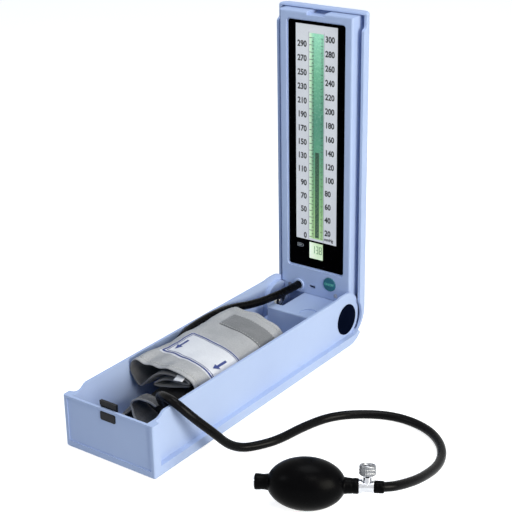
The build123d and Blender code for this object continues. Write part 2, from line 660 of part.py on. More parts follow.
# Latch: push button, plate and hook moulded as one
with BuildPart() as latch_button:
    plate_front = -TRAY_LENGTH + FRONT_WALL + 0.1
    half = LATCH_WIDTH / 2
    hook = HOOK_WIDTH / 2
    up = -AXIS_HEIGHT
    with BuildSketch(Plane.XZ.offset(-AXIS_Y - plate_front)):
        with Locations((0, BOTTOM + (LATCH_LOW + LATCH_HIGH) / 2)):
            RectangleRounded(LATCH_WIDTH, LATCH_HIGH - LATCH_LOW, 2.0)
    extrude(amount=FRONT_WALL + 0.1 - PANEL_DEPTH + 0.7)
    fillet(latch_button.faces().sort_by(Axis.Y)[0].edges(), 0.6)
    add(block(-hook, hook, plate_front, latch_back, HOOK_LOW + up, HOOK_TOP + up))
    add(block(-hook, hook, plate_front - HOOK_REACH, latch_back, HOOK_LIP_LOW + up, HOOK_TOP + up))
save(latch_button.part, "latch_button")

# Latch spring, lying along Y between the plate and the bracket
spring_length = bracket_back - 1.8 - latch_back
coil_rise = spring_length - LATCH_SPRING_WIRE
coil = Helix(coil_rise / 3.0, coil_rise, LATCH_SPRING_RADIUS - LATCH_SPRING_WIRE / 2)
wire = Plane(coil @ 0, z_dir=coil % 0) * Circle(LATCH_SPRING_WIRE / 2)
coil_solid = sweep(wire, path=coil, is_frenet=True)
coil_start = (0, AXIS_Y + latch_back + LATCH_SPRING_WIRE / 2, AXIS_Z + spring_z)
with BuildPart() as latch_spring:
    add(Plane(coil_start, x_dir=(1, 0, 0), z_dir=(0, 1, 0)) * coil_solid)
save(latch_spring.part, "latch_spring")

# Lid shell: a deep rim with a rounded back, its lower end curled around the barrel
shell_cut = CUT_ANGLE + 0.8
heel_radius_point = (corner_hit(CUT_ANGLE) * cos(radians(CUT_ANGLE)), corner_hit(CUT_ANGLE) * sin(radians(CUT_ANGLE)))
heel_rise = LID_HEEL - heel_radius_point[1]
heel_run = LID_BACK - heel_radius_point[0]
heel_radius = (heel_rise**2 + heel_run**2) / (2 * heel_run)
skirt_radius = BARREL_INNER + 1.0
skirt_angle = degrees(acos(RIM_FRONT / skirt_radius))
step_low = LID_END - RIM_STEP_END - RIM_STEP_LENGTH - 2


def heel_point(shrink, angle):
    """A point of the heel's arc, from how far it lies inside the outer skin and its own angle."""
    radius = heel_radius - shrink
    return at(LID_BACK - heel_radius + radius * cos(radians(angle)), LID_HEEL + radius * sin(radians(angle)))


def shell_hit(angle):
    """Radius about the hinge axis at which a direction meets the heel's outer arc."""
    centre_y, centre_z = LID_BACK - heel_radius, LID_HEEL
    dot = centre_y * cos(radians(angle)) + centre_z * sin(radians(angle))
    return dot + sqrt(dot**2 - centre_y**2 - centre_z**2 + heel_radius**2)


boss_places = [(side * BOSS_X, z) for side in (-1, 1) for z in BOSS_ROWS]
press_places = [(side * 24.0, z) for side in (-1, 1) for z in (70.0, 165.0, LID_END - 42.0)]
with BuildPart() as lid_room:
    with BuildSketch(Plane.YZ):
        with BuildLine():
            Polyline(
                heel_point(LID_WALL, -70),
                at(-30, -24),
                at(-30, LID_END - LID_WALL),
                at(LID_BACK - LID_WALL, LID_END - LID_WALL),
                heel_point(LID_WALL, 0),
            )
            ThreePointArc(heel_point(LID_WALL, 0), heel_point(LID_WALL, -35), heel_point(LID_WALL, -70))
        make_face()
    extrude(amount=LID_WIDTH / 2 - LID_WALL, both=True)
    room_edges = lid_room.edges().filter_by(Axis.Z).filter_by(lambda e: e.center().Y > AXIS_Y + 20)
    room_edges += lid_room.edges().filter_by(GeomType.CIRCLE)
    fillet(room_edges, LID_INNER_EDGE)
with BuildPart() as lid_shell:
    with BuildSketch(Plane.YZ):
        with BuildLine():
            rim_low = at(RIM_FRONT, skirt_radius * sin(radians(skirt_angle)))
            rim_step = at(RIM_STEPPED, step_low + RIM_STEP_LENGTH)
            ThreePointArc(polar(skirt_radius, shell_cut), polar(skirt_radius, 0), rim_low)
            Line(rim_low, at(RIM_FRONT, step_low))
            middle = ((AXIS_Y + RIM_FRONT + rim_step[0]) / 2, (AXIS_Z + step_low + rim_step[1]) / 2)
            TangentArc(at(RIM_FRONT, step_low), middle, tangent=(0, 1))
            TangentArc(rim_step, middle, tangent=(0, -1))
            Polyline(rim_step, at(RIM_STEPPED, LID_END), at(LID_BACK, LID_END), heel_point(0, 0))
            turn = degrees(atan2(shell_hit(shell_cut) * sin(radians(shell_cut)) - LID_HEEL,
                                 shell_hit(shell_cut) * cos(radians(shell_cut)) - LID_BACK + heel_radius))
            ThreePointArc(heel_point(0, 0), heel_point(0, turn / 2), polar(shell_hit(shell_cut), shell_cut))
            Line(polar(shell_hit(shell_cut), shell_cut), polar(skirt_radius, shell_cut))
        make_face()
    extrude(amount=LID_WIDTH / 2, both=True)
    back_edges = lid_shell.edges().filter_by(Axis.Z).filter_by(lambda e: abs(e.center().Y - AXIS_Y - LID_BACK) < 0.01)
    back_edges += lid_shell.edges().filter_by(GeomType.CIRCLE).filter_by(
        lambda e: e.center().Y > AXIS_Y + LID_BACK - heel_radius and e.center().Z < AXIS_Z + 3 and e.radius > 24
    )
    fillet(back_edges, LID_EDGE_RADIUS)
    end_edges = lid_shell.faces().sort_by(Axis.Z)[-1].edges()
    fillet(end_edges, LID_TOP_RADIUS - 0.5)
    add(lid_room.part, mode=Mode.SUBTRACT)
    slot_low = HOOK_LIP_LOW - AXIS_HEIGHT - 0.5
    slot_high = HOOK_TOP - AXIS_HEIGHT + 0.7
    with BuildSketch(Plane.XY.offset(AXIS_Z + LID_END - LID_WALL)):
        with Locations((0, AXIS_Y + (slot_low + slot_high) / 2)):
            Rectangle(HOOK_WIDTH + 1.2, slot_high - slot_low)
    extrude(amount=HOOK_REACH + 0.2, mode=Mode.SUBTRACT)
    for x, z in boss_places:
        with BuildSketch(Plane.XZ.offset(-AXIS_Y - LID_BACK)):
            with Locations((x, AXIS_Z + z)):
                Circle(SCREW_HEAD + 0.2)
        extrude(amount=SCREW_SUNK, mode=Mode.SUBTRACT)
        with BuildSketch(Plane.XZ.offset(-AXIS_Y - LID_BACK)):
            with Locations((x, AXIS_Z + z)):
                Circle(SCREW_RADIUS + 0.1)
        extrude(amount=LID_WALL, mode=Mode.SUBTRACT)
    for x, z in press_places:
        with BuildSketch(Plane.XZ.offset(-AXIS_Y - LID_BACK + LID_WALL)):
            with Locations((x, AXIS_Z + z)):
                Circle(2.0)
        extrude(amount=LID_BACK - LID_WALL - BOARD_FRONT - BOARD_THICK)
save(lid_shell.part, "lid_shell")

# Display housing: front plate with its window, side walls, screw bosses and the tongue over the platform
half_housing = HOUSING_WIDTH / 2
tongue = CHEEK_INNER - 0.4
clear_radius = BARREL_RADIUS + 0.7
clear_angle = BARREL_TOP_ANGLE + 1.2
room_low = 18.6
shelf = clear_radius * sin(radians(clear_angle))
tongue_turn = degrees(asin(FACE / (CHEEK_RADIUS + HINGE_GAP)))
board_back = BOARD_FRONT + BOARD_THICK
screw_places = [(SCREW_X, SCREW_Z), (-SCREW_X - 5.6, SCREW_Z)]
with BuildPart() as display_housing:
    with BuildSketch(Plane.YZ):
        with BuildLine():
            start_angle = 90 - tongue_turn
            ThreePointArc(
                polar(CHEEK_RADIUS + HINGE_GAP, start_angle),
                polar(CHEEK_RADIUS + HINGE_GAP, (start_angle + clear_angle) / 2),
                polar(CHEEK_RADIUS + HINGE_GAP, clear_angle),
            )
            Line(polar(CHEEK_RADIUS + HINGE_GAP, clear_angle), polar(clear_radius, clear_angle))
            Polyline(
                polar(clear_radius, clear_angle),
                at(HOUSING_BACK, shelf),
                at(HOUSING_BACK, HOUSING_TOP),
                at(FACE, HOUSING_TOP),
                polar(CHEEK_RADIUS + HINGE_GAP, start_angle),
            )
        make_face()
    extrude(amount=half_housing, both=True)
    face_edges = display_housing.faces().sort_by(Axis.Y)[0].edges()
    long_edges = face_edges.filter_by(Axis.Z)
    long_edges += face_edges.filter_by(Axis.X).sort_by(Axis.Z)[-1:]
    fillet(long_edges, HOUSING_EDGE)
    add(block(-tongue, tongue, FACE, PLATE_BACK, TONGUE_BOTTOM, 22.0))
    add(block(-tongue, tongue, PLATE_BACK, 15.2, TONGUE_BOTTOM, YOKE_LOW - 0.2))
    inside = half_housing - HOUSING_WALL
    add(block(-inside, inside, PLATE_BACK, HOUSING_BACK + 1, room_low, HOUSING_TOP - HOUSING_WALL), mode=Mode.SUBTRACT)
    add(block(-tongue + 0.3, tongue - 0.3, PLATE_BACK, 16.2, YOKE_LOW - 0.2, 24.0), mode=Mode.SUBTRACT)
    for side in (-1, 1):
        arm = sorted((side * (ARM_OUTER - ARM_THICK - 0.3), side * (tongue + 0.1)))
        add(block(*arm, PLATE_BACK, 15.3, TONGUE_BOTTOM - 0.1, YOKE_LOW), mode=Mode.SUBTRACT)
    for x, z in boss_places:
        with BuildSketch(Plane.XZ.offset(-AXIS_Y - PLATE_BACK)):
            with Locations((x, AXIS_Z + z)):
                Circle(BOSS_FOOT)
        extrude(amount=-(BOARD_FRONT - PLATE_BACK))
        with BuildSketch(Plane.XZ.offset(-AXIS_Y - PLATE_BACK)):
            with Locations((x, AXIS_Z + z)):
                Circle(BOSS_RADIUS)
        extrude(amount=-(HOUSING_BACK - PLATE_BACK))
        with BuildSketch(Plane.XZ.offset(-AXIS_Y - HOUSING_BACK)):
            with Locations((x, AXIS_Z + z)):
                Circle(SCREW_RADIUS)
        extrude(amount=9.0, mode=Mode.SUBTRACT)
    middle_z = (WINDOW_LOW + WINDOW_HIGH) / 2
    tall = WINDOW_HIGH - WINDOW_LOW
    with BuildSketch(Plane.XZ.offset(-AXIS_Y - FACE)):
        with Locations((0, AXIS_Z + middle_z)):
            RectangleRounded(WINDOW_WIDTH, tall, WINDOW_CORNER)
    extrude(amount=-(WINDOW_BACK - FACE), mode=Mode.SUBTRACT)
    with BuildSketch(Plane.XZ.offset(-AXIS_Y - FACE)):
        with Locations((0, AXIS_Z + middle_z)):
            RectangleRounded(WINDOW_WIDTH - 2 * WINDOW_LEDGE, tall - 2 * WINDOW_LEDGE, WINDOW_CORNER - WINDOW_LEDGE)
    extrude(amount=-HOUSING_PLATE - 0.1, mode=Mode.SUBTRACT)
    with BuildSketch(Plane.XZ.offset(-AXIS_Y - FACE)):
        with Locations((BUTTON_X, AXIS_Z + BUTTON_Z)):
            Circle(BUTTON_RADIUS + BUTTON_PLAY)
        with Locations((PORT_X, AXIS_Z + PORT_Z)):
            Circle(PORT_NECK)
        with Locations((SLOT_X, AXIS_Z + SLOT_Z)):
            Rectangle(SLOT_WIDTH, SLOT_HEIGHT)
        with Locations(*[(x, AXIS_Z + z) for x, z in screw_places]):
            Circle(SCREW_RADIUS + 0.1)
    extrude(amount=-HOUSING_PLATE, mode=Mode.SUBTRACT)
    with BuildSketch(Plane.XZ.offset(-AXIS_Y - FACE)):
        with Locations(*[(x, AXIS_Z + z) for x, z in screw_places]):
            Circle(SCREW_HEAD + 0.2)
    extrude(amount=-SCREW_SUNK, mode=Mode.SUBTRACT)
    add(block(-NOTCH_WIDTH / 2, NOTCH_WIDTH / 2, FACE - 1, HOOK_TOP - AXIS_HEIGHT + 0.8, NOTCH_LOW, HOUSING_TOP + 1), mode=Mode.SUBTRACT)
    pocket_deep = HOOK_TOP - AXIS_HEIGHT + 0.8
    add(block(-NOTCH_WIDTH / 2 - 1.4, NOTCH_WIDTH / 2 + 1.4, PLATE_BACK, pocket_deep + 1.4, NOTCH_LOW - 1.4, NOTCH_LOW))
    for side in (-1, 1):
        cheek = sorted((side * NOTCH_WIDTH / 2, side * (NOTCH_WIDTH / 2 + 1.4)))
        add(block(*cheek, PLATE_BACK, pocket_deep + 1.4, NOTCH_LOW, HOUSING_TOP))
    add(block(-NOTCH_WIDTH / 2, NOTCH_WIDTH / 2, pocket_deep, pocket_deep + 1.4, NOTCH_LOW, HOUSING_TOP))
save(display_housing.part, "display_housing")

# Window, mask, scale plate, the two display glasses and the light behind them
middle_z = (WINDOW_LOW + WINDOW_HIGH) / 2
tall = WINDOW_HIGH - WINDOW_LOW


def upright_sheet(name, front, thick, pieces, holes=()):
    """Writes an upright sheet: rectangles (x, width, low, high, corner) less its holes."""
    with BuildPart() as sheet:
        for mode, group in ((Mode.ADD, pieces), (Mode.SUBTRACT, holes)):
            for x, wide, low, high, corner in group:
                with BuildSketch(Plane.XZ.offset(-AXIS_Y - front)):
                    with Locations((x, AXIS_Z + (low + high) / 2)):
                        if corner:
                            RectangleRounded(wide, high - low, corner)
                        else:
                            Rectangle(wide, high - low)
                extrude(amount=-thick, mode=mode)
    save(sheet.part, name)
    return sheet.part


window_play = 2 * PLAY
display_window = upright_sheet(
    "display_window",
    WINDOW_FRONT,
    WINDOW_THICK,
    [(0, WINDOW_WIDTH - window_play, WINDOW_LOW + PLAY, WINDOW_HIGH - PLAY, WINDOW_CORNER - PLAY)],
)
mask_wide = WINDOW_WIDTH - 2 * WINDOW_LEDGE - window_play
mask_low = WINDOW_LOW + WINDOW_LEDGE + PLAY
mask_high = WINDOW_HIGH - WINDOW_LEDGE - PLAY
display_mask = upright_sheet(
    "display_mask",
    INNER_FRONT,
    PLATE_THICK,
    [(0, mask_wide, mask_low, mask_high, WINDOW_CORNER - WINDOW_LEDGE - PLAY)],
    [
        (0, SCALE_WIDTH + window_play, SCALE_LOW - PLAY, SCALE_HIGH + PLAY, 0),
        (0, READOUT_WIDTH + window_play, READOUT_LOW - PLAY, READOUT_HIGH + PLAY, 0),
    ],
)
scale_plate = upright_sheet(
    "scale_plate",
    INNER_FRONT,
    PLATE_THICK,
    [(0, SCALE_WIDTH, SCALE_LOW, SCALE_HIGH, 0)],
    [(0, COLUMN_WIDTH + window_play, COLUMN_LOW - PLAY, COLUMN_HIGH + PLAY, 0)],
)
lcd_column = upright_sheet(
    "lcd_column", INNER_FRONT, GLASS_THICK, [(0, COLUMN_WIDTH, COLUMN_LOW, COLUMN_HIGH, 0)]
)
lcd_readout = upright_sheet(
    "lcd_readout", INNER_FRONT, GLASS_THICK, [(0, READOUT_WIDTH, READOUT_LOW, READOUT_HIGH, 0)]
)
light_front = INNER_FRONT + GLASS_THICK + 0.05
light_wide = COLUMN_WIDTH + 2 * LIGHT_MARGIN
backlight = upright_sheet(
    "backlight",
    light_front,
    LIGHT_THICK,
    [(0, light_wide, READOUT_LOW - LIGHT_MARGIN, COLUMN_HIGH + LIGHT_MARGIN, 1.0)],
)

# Main circuit board, seated on the bosses' feet, with its larger parts on the back
with BuildPart() as main_board:
    half_board = half_housing - HOUSING_WALL - 0.4
    add(block(-half_board, half_board, BOARD_FRONT, board_back, BOARD_LOW, BOARD_HIGH - 3.4))
    for x, z in boss_places:
        with BuildSketch(Plane.XZ.offset(-AXIS_Y - BOARD_FRONT)):
            with Locations((x, AXIS_Z + z)):
                Circle(BOSS_RADIUS + 0.2)
            with Locations((x + (3 if x > 0 else -3), AXIS_Z + z)):
                Rectangle(6, 2 * BOSS_RADIUS + 0.4)
        extrude(amount=-BOARD_THICK, mode=Mode.SUBTRACT)
    add(block(2, 16, board_back, board_back + 1.6, 96.0, 110.0))
    add(block(-12, -4, board_back, board_back + 1.2, 130.0, 138.0))
    add(block(-6, 6, board_back, board_back + 3.2, 205.0, 210.0))
    add(block(12, 17, board_back, board_back + 4.0, 52.0, 57.0))
save(main_board.part, "main_board")

# Small board behind the power button, with its push switch
with BuildPart() as switch_board:
    switch_front = BOARD_FRONT
    add(block(7.0, 29.0, switch_front, board_back, room_low + 0.4, BOARD_LOW - 0.7))
    add(block(BUTTON_X - 3, BUTTON_X + 3, switch_front - 1.0, switch_front, BUTTON_Z - 3, BUTTON_Z + 3))
    for x, z in ((8.4, 20.6), (26.6, 33.2)):
        with BuildSketch(Plane.XZ.offset(-AXIS_Y - PLATE_BACK)):
            with Locations((x, AXIS_Z + z)):
                Circle(1.2)
        extrude(amount=-(switch_front - PLATE_BACK))
save(switch_board.part, "switch_board")

# Power button: a round cap with a flange behind the plate
with BuildPart() as power_button:
    with BuildSketch(Plane.XZ.offset(-AXIS_Y - FACE + BUTTON_PROUD)):
        with Locations((BUTTON_X, AXIS_Z + BUTTON_Z)):
            Circle(BUTTON_RADIUS)
    extrude(amount=-(HOUSING_PLATE + BUTTON_PROUD + 0.1))
    fillet(power_button.faces().sort_by(Axis.Y)[0].edges(), 0.7)
    with BuildSketch(Plane.XZ.offset(-AXIS_Y - PLATE_BACK - 0.1)):
        with Locations((BUTTON_X, AXIS_Z + BUTTON_Z)):
            Circle(BUTTON_RADIUS + 1.0)
    extrude(amount=-BUTTON_FLANGE)
    with BuildSketch(Plane.XZ.offset(-AXIS_Y - PLATE_BACK - 0.1 - BUTTON_FLANGE)):
        with Locations((BUTTON_X, AXIS_Z + BUTTON_Z)):
            Circle(1.4)
    extrude(amount=-(BOARD_FRONT - 1.0 - BUTTON_TRAVEL - 0.1 - PLATE_BACK - 0.1 - BUTTON_FLANGE))
save(power_button.part, "power_button")

# Air port of the housing: flange, neck, seat for the hose and a spigot up to the sensor's tube
spigot_y = 17.0
spigot_low = room_low + 0.3
spigot_high = 24.4
with BuildPart() as hose_port:
    for front, back, radius in ((-PORT_PROUD, 0, PORT_RADIUS), (0, HOUSING_PLATE, PORT_NECK), (HOUSING_PLATE, 3.8, 4.6)):
        with BuildSketch(Plane.XZ.offset(-AXIS_Y - FACE - front)):
            with Locations((PORT_X, AXIS_Z + PORT_Z)):
                Circle(radius)
        extrude(amount=-(back - front))
    fillet(hose_port.faces().sort_by(Axis.Y)[0].edges(), 0.5)
    add(block(PORT_X - 2.6, PORT_X + 2.6, FACE + 3.8, spigot_y + 2.2, spigot_low, spigot_high))
    with BuildSketch(Plane.XY.offset(AXIS_Z + spigot_high)):
        with Locations((PORT_X, AXIS_Y + spigot_y)):
            Circle(1.3)
    extrude(amount=3.6)
    with BuildSketch(Plane.XZ.offset(-AXIS_Y - FACE + PORT_PROUD)):
        with Locations((PORT_X, AXIS_Z + PORT_Z)):
            Circle(PORT_BORE)
    extrude(amount=-(PORT_SEAT - FACE + PORT_PROUD), mode=Mode.SUBTRACT)
    with BuildSketch(Plane.XZ.offset(-AXIS_Y - PORT_SEAT)):
        with Locations((PORT_X, AXIS_Z + spigot_low + 1.6)):
            Circle(0.7)
    extrude(amount=-(spigot_y - PORT_SEAT), mode=Mode.SUBTRACT)
    with BuildSketch(Plane.XY.offset(AXIS_Z + spigot_low + 1.6)):
        with Locations((PORT_X, AXIS_Y + spigot_y)):
            Circle(0.7)
    extrude(amount=12, mode=Mode.SUBTRACT)
save(hose_port.part, "hose_port")


def bend_radii(points, most):
    """Radii for a route's corners: less than half of the shorter run at each, and a largest one."""
    radii = []
    for before, corner, after in zip(points, points[1:], points[2:]):
        one = Vector(*corner) - Vector(*before)
        two = Vector(*after) - Vector(*corner)
        turn = radians(one.get_angle(two))
        radii.append(round(min(0.45 * min(one.length, two.length) / tan(turn / 2), most), 2))
    return radii


def hose(name, points, outer, inner, most):
    """Sweeps a tube along straight runs with rounded corners, and prints its radii and length."""
    radii = bend_radii(points, most)
    path = FilletPolyline(*points, radius=radii)
    start = Vector(*points[1]) - Vector(*points[0])
    ring = Plane(points[0], z_dir=start) * (Circle(outer) - Circle(inner) if inner else Circle(outer))
    solid = sweep(ring, path=path)
    runs = [round((Vector(*b) - Vector(*a)).length, 1) for a, b in zip(points, points[1:])]
    area = 3.14159265 * (outer**2 - inner**2)
    print(name, "radii", radii, "runs", runs, "length", round(path.length, 1))
    print(name, "volume over section times length", round(solid.volume / (area * path.length), 4))
    return solid


# Pressure sensor behind the board, and the thin tube from the port to it
sensor_x = PORT_X
sensor_z = 52.0
tube_end = sensor_z - 6.2
tube_y = board_back + 3.6
with BuildPart() as pressure_sensor:
    add(block(sensor_x - 5, sensor_x + 5, board_back, board_back + 6.0, sensor_z - 6, sensor_z + 6))
    with BuildSketch(Plane.XY.offset(AXIS_Z + tube_end)):
        with Locations((sensor_x, AXIS_Y + tube_y)):
            Circle(1.3)
    extrude(amount=0.2)
    with BuildSketch(Plane.XY.offset(AXIS_Z + tube_end - 3.0)):
        with Locations((sensor_x, AXIS_Y + tube_y)):
            Circle(1.3)
            Circle(0.7, mode=Mode.SUBTRACT)
    extrude(amount=3.0)
save(pressure_sensor.part, "pressure_sensor")
tube_points = [
    (sensor_x, *at(spigot_y, spigot_high + 0.1)),
    (sensor_x, *at(spigot_y, spigot_high + 4.2)),
    (sensor_x, *at(tube_y, tube_end - 9.2)),
    (sensor_x, *at(tube_y, tube_end - 0.1)),
]
sensor_tube_solid = hose("sensor_tube", tube_points, 2.2, 1.3, 8.0)
with BuildPart() as sensor_tube:
    add(sensor_tube_solid)
save(sensor_tube.part, "sensor_tube")


def screws(name, places, head_y, direction):
    """Writes a set of countersunk-style screws whose heads lie at one depth along Y."""
    with BuildPart() as group:
        for x, z in places:
            with BuildSketch(Plane.XZ.offset(-AXIS_Y - head_y)):
                with Locations((x, AXIS_Z + z)):
                    Circle(SCREW_HEAD)
            extrude(amount=-direction * (SCREW_SUNK - 0.3))
            with BuildSketch(Plane.XZ.offset(-AXIS_Y - head_y)):
                with Locations((x, AXIS_Z + z)):
                    Circle(SCREW_RADIUS)
            extrude(amount=-direction * (SCREW_SUNK - 0.3 + HOUSING_PLATE - SCREW_SUNK + (4 if direction < 0 else 1.1)))
            with BuildSketch(Plane.XZ.offset(-AXIS_Y - head_y)):
                with Locations((x, AXIS_Z + z)):
                    Rectangle(2.6, 0.6)
                    Rectangle(0.6, 2.6)
            extrude(amount=-direction * 0.6, mode=Mode.SUBTRACT)
    save(group.part, name)
    return group.part


hinge_screws = screws("hinge_screws", screw_places, FACE + 0.3, 1)
lid_screws = screws("lid_screws", boss_places, LID_BACK - 0.3, -1)

# Cuff: a folded roll of padded cloth along the tray, narrower behind the step to leave room for the hose
near_x = SIDE_IN - 3.6
crest = (14.0, 55.5)
top_slope = 3.5 / 44.0


def on_top(x):
    """A point of the roll's top layer on the far side of its crest."""
    return (x, crest[1] - (crest[0] - x) * top_slope)


def roll_path(far_in):
    """Centre line of the roll's cloth, from the near side over the top and into the inner fold."""
    return [
        (near_x, 37.5),
        (near_x, 49.0),
        crest,
        on_top(-30 + far_in),
        (-38 + far_in, 43.0),
        (-29 + far_in * 0.75, 29.5),
        (0, 38.2),
        (24, 40.0),
        (33.2, 40.9),
        (33.2, 45.6),
        (24, 46.3),
        (6, 46.8),
        (-16, 42.0),
    ]


def offset_path(points, out):
    """Moves an open line of points to its right-hand side, with mitred corners."""
    moved = []
    for i, here in enumerate(points):
        ends = [points[max(i - 1, 0)], here, points[min(i + 1, len(points) - 1)]]
        normals = []
        for a, b in zip(ends, ends[1:]):
            run = sqrt((b[0] - a[0]) ** 2 + (b[1] - a[1]) ** 2)
            if run:
                normals.append(((b[1] - a[1]) / run, -(b[0] - a[0]) / run))
        nx = sum(n[0] for n in normals) / len(normals)
        nz = sum(n[1] for n in normals) / len(normals)
        scale = out / (nx**2 + nz**2)
        moved.append((here[0] + nx * scale, here[1] + nz * scale))
    return moved


def ribbon(points, thick, y_low, y_high, most=9.0):
    """A strip of cloth: a rounded line of (x, height) points, given a thickness and drawn along Y."""
    radii = bend_radii([(x, 0, z) for x, z in points], most)
    right_radii, left_radii = [0.3 * thick], [0.3 * thick]
    for radius, before, corner, after in zip(radii, points, points[1:], points[2:]):
        cross = (corner[0] - before[0]) * (after[1] - corner[1]) - (corner[1] - before[1]) * (after[0] - corner[0])
        half = thick / 2 if cross > 0 else -thick / 2
        right_radii.append(radius + half)
        left_radii.append(radius - half)
    right_radii.append(0.3 * thick)
    left_radii.append(0.3 * thick)
    around = offset_path(points, thick / 2) + offset_path(points, -thick / 2)[::-1]
    outline = FilletPolyline(*around, radius=right_radii + left_radii[::-1], close=True)
    place = Plane((0, AXIS_Y + y_low, BOTTOM), x_dir=(1, 0, 0), z_dir=(0, -1, 0))
    return extrude(place * make_face(outline), amount=-(y_high - y_low))


front_roll = ribbon(roll_path(0), CLOTH, CUFF_FRONT, CUFF_STEP)
rear_roll = ribbon(roll_path(CUFF_STEP_IN), CLOTH, CUFF_STEP, CUFF_BACK)
with BuildPart() as cuff:
    add(front_roll)
    add(rear_roll)
save(cuff.part, "cuff")

# Rubber bag folded under the roll; both hoses belong to it
bag_outline = [(-31, 2.8), (35.5, 2.8), (38, 18), (36.3, 36.6), (8, 36.1), (-20, 27.2), (-33, 15)]
bag_line = FilletPolyline(*bag_outline, radius=5.0, close=True)
bag_back = CUFF_BACK - 3
bag_place = Plane((0, AXIS_Y + BAG_FRONT, BOTTOM), x_dir=(1, 0, 0), z_dir=(0, -1, 0))
bag_solid = extrude(bag_place * make_face(bag_line), amount=-(bag_back - BAG_FRONT))
with BuildPart() as inner_bag:
    add(bag_solid)
    fillet(inner_bag.faces().sort_by(Axis.Y)[-1].edges(), 3.0)
save(inner_bag.part, "inner_bag")

# Label and closing strap on the roll's top, and the folded tail of the strap in front of it
label_line = offset_path([(near_x, 43.0), (near_x, 49.0), crest, on_top(-18.0)], CLOTH / 2 + LABEL_THICK / 2 + 0.05)
strap_line = offset_path([(near_x, 45.0), (near_x, 49.0), crest, on_top(-13.0)], CLOTH / 2 + STRAP_THICK / 2 + 0.05)
label_solid = ribbon(label_line, LABEL_THICK, CUFF_FRONT + 19.0, CUFF_FRONT + 59.0)
strap_solid = ribbon(strap_line, STRAP_THICK, CUFF_BACK - 42.0, CUFF_BACK - 17.0)
tail_line = [(5.5, 4.1), (-22, 3.9), (-29, 13), (-24, 22.5), (-10, 23.5), (-3, 17), (5.5, 15.5)]
tail_solid = ribbon(tail_line, TAIL_CLOTH, CUFF_FRONT - 36.0, CUFF_FRONT - 9.0, 4.0)
with BuildPart() as cuff_label:
    add(label_solid)
save(cuff_label.part, "cuff_label")
with BuildPart() as cuff_strap:
    add(strap_solid)
save(cuff_strap.part, "cuff_strap")
with BuildPart() as cuff_tail:
    add(tail_solid)
save(cuff_tail.part, "cuff_tail")


def route(points):
    """Route points of a hose, given across the tray, from the hinge axis and above the underside."""
    return [(x, AXIS_Y + y, BOTTOM + z) for x, y, z in points]


# Hose from the housing's port along the far wall and down beside the roll
lid_route = [
    (PORT_X, PORT_SEAT - 0.05, AXIS_HEIGHT + PORT_Z),
    (PORT_X, -9.0, AXIS_HEIGHT + PORT_Z),
    (-27.5, -50.0, 46.4),
    (-38.0, -82.0, 50.8),
    (-38.0, -114.0, 54.3),
    (-38.0, -150.0, 52.5),
    (-38.0, -172.0, 38.5),
    (-38.0, CUFF_STEP + 0.15, 38.5),
]
lid_hose_solid = hose("lid_hose", route(lid_route), HOSE_RADIUS, HOSE_BORE, 60.0)
with BuildPart() as lid_hose:
    add(lid_hose_solid)
save(lid_hose.part, "lid_hose")

# Hose from the bag over the near wall and along the table to the bulb's valve
bulb_dir = (cos(radians(BULB_ANGLE)), sin(radians(BULB_ANGLE)))
bulb_rel_y = BULB_Y - AXIS_Y
bulb_zb = BULB_RADIUS - BOTTOM


def along(distance):
    """A route point on the bulb's axis."""
    return (BULB_X + distance * bulb_dir[0], bulb_rel_y + distance * bulb_dir[1], bulb_zb)


table = HOSE_RADIUS - BOTTOM
bulb_route = [
    (13.0, BAG_FRONT - 0.1, 31.0),
    (13.0, -243.0, 31.0),
    (19.0, -257.0, 50.0),
    (33.0, -266.0, 59.4),
    (50.5, -271.5, 59.4),
    (61.8, -266.5, 45.0),
    (61.0, -244.0, 20.0),
    (60.0, -229.0, table),
    (86.0, -224.0, table),
    (101.5, -199.0, table),
    (104.5, -163.0, table),
    (115.0, -133.0, table),
    (141.0, -110.5, table),
    (168.5, -101.0, table),
    (199.0, -106.5, table),
    (222.0, -126.0, table),
    (233.5, -152.0, 3.8),
    (237.0, -188.0, 11.0),
    (234.5, -214.0, 17.2),
    along(VALVE_END + 10.5),
    along(VALVE_END + 0.1),
]
bulb_hose_solid = hose("bulb_hose", route(bulb_route), HOSE_RADIUS, HOSE_BORE, 60.0)
with BuildPart() as bulb_hose:
    add(bulb_hose_solid)
save(bulb_hose.part, "bulb_hose")

# Hand bulb with its inlet valve and its release valve
bulb_place = Location((BULB_X, BULB_Y, BULB_RADIUS), (0, 0, BULB_ANGLE))


def turned(rings):
    """A private solid of revolution about the bulb's axis, from (start, end, radius) rings."""
    solid = None
    for low, high, radius in rings:
        disc = Plane(origin=(low, 0, 0), x_dir=(0, 1, 0), z_dir=(1, 0, 0)) * Circle(radius)
        step = extrude(disc, amount=high - low)
        solid = step if solid is None else solid + step
    return solid


upper_half = Pos(0, 50) * Rectangle(200, 100)
bulb_outline = Ellipse(BULB_HALF, BULB_RADIUS) & upper_half
bulb_hollow = Ellipse(BULB_HALF - BULB_WALL, BULB_RADIUS - BULB_WALL) & upper_half
bulb_outside = revolve(bulb_outline, axis=Axis.X)
bulb_outside = bulb_outside + turned([(-NECK_LEFT_END, 0, NECK_LEFT), (0, NECK_RIGHT_END, NECK_RIGHT)])
neck_roots = bulb_outside.edges().filter_by(lambda e: 27 < abs(e.center().X) < 32 and e.bounding_box().size.X < 0.05)
bulb_outside = fillet(neck_roots, 2.6)
bulb_solid = bulb_outside - revolve(bulb_hollow, axis=Axis.X)
bulb_solid = bulb_solid - turned([(-NECK_LEFT_END - 1, NECK_RIGHT_END + 1, STEM_RADIUS)])
with BuildPart() as bulb:
    add(bulb_place * bulb_solid)
save(bulb.part, "bulb")

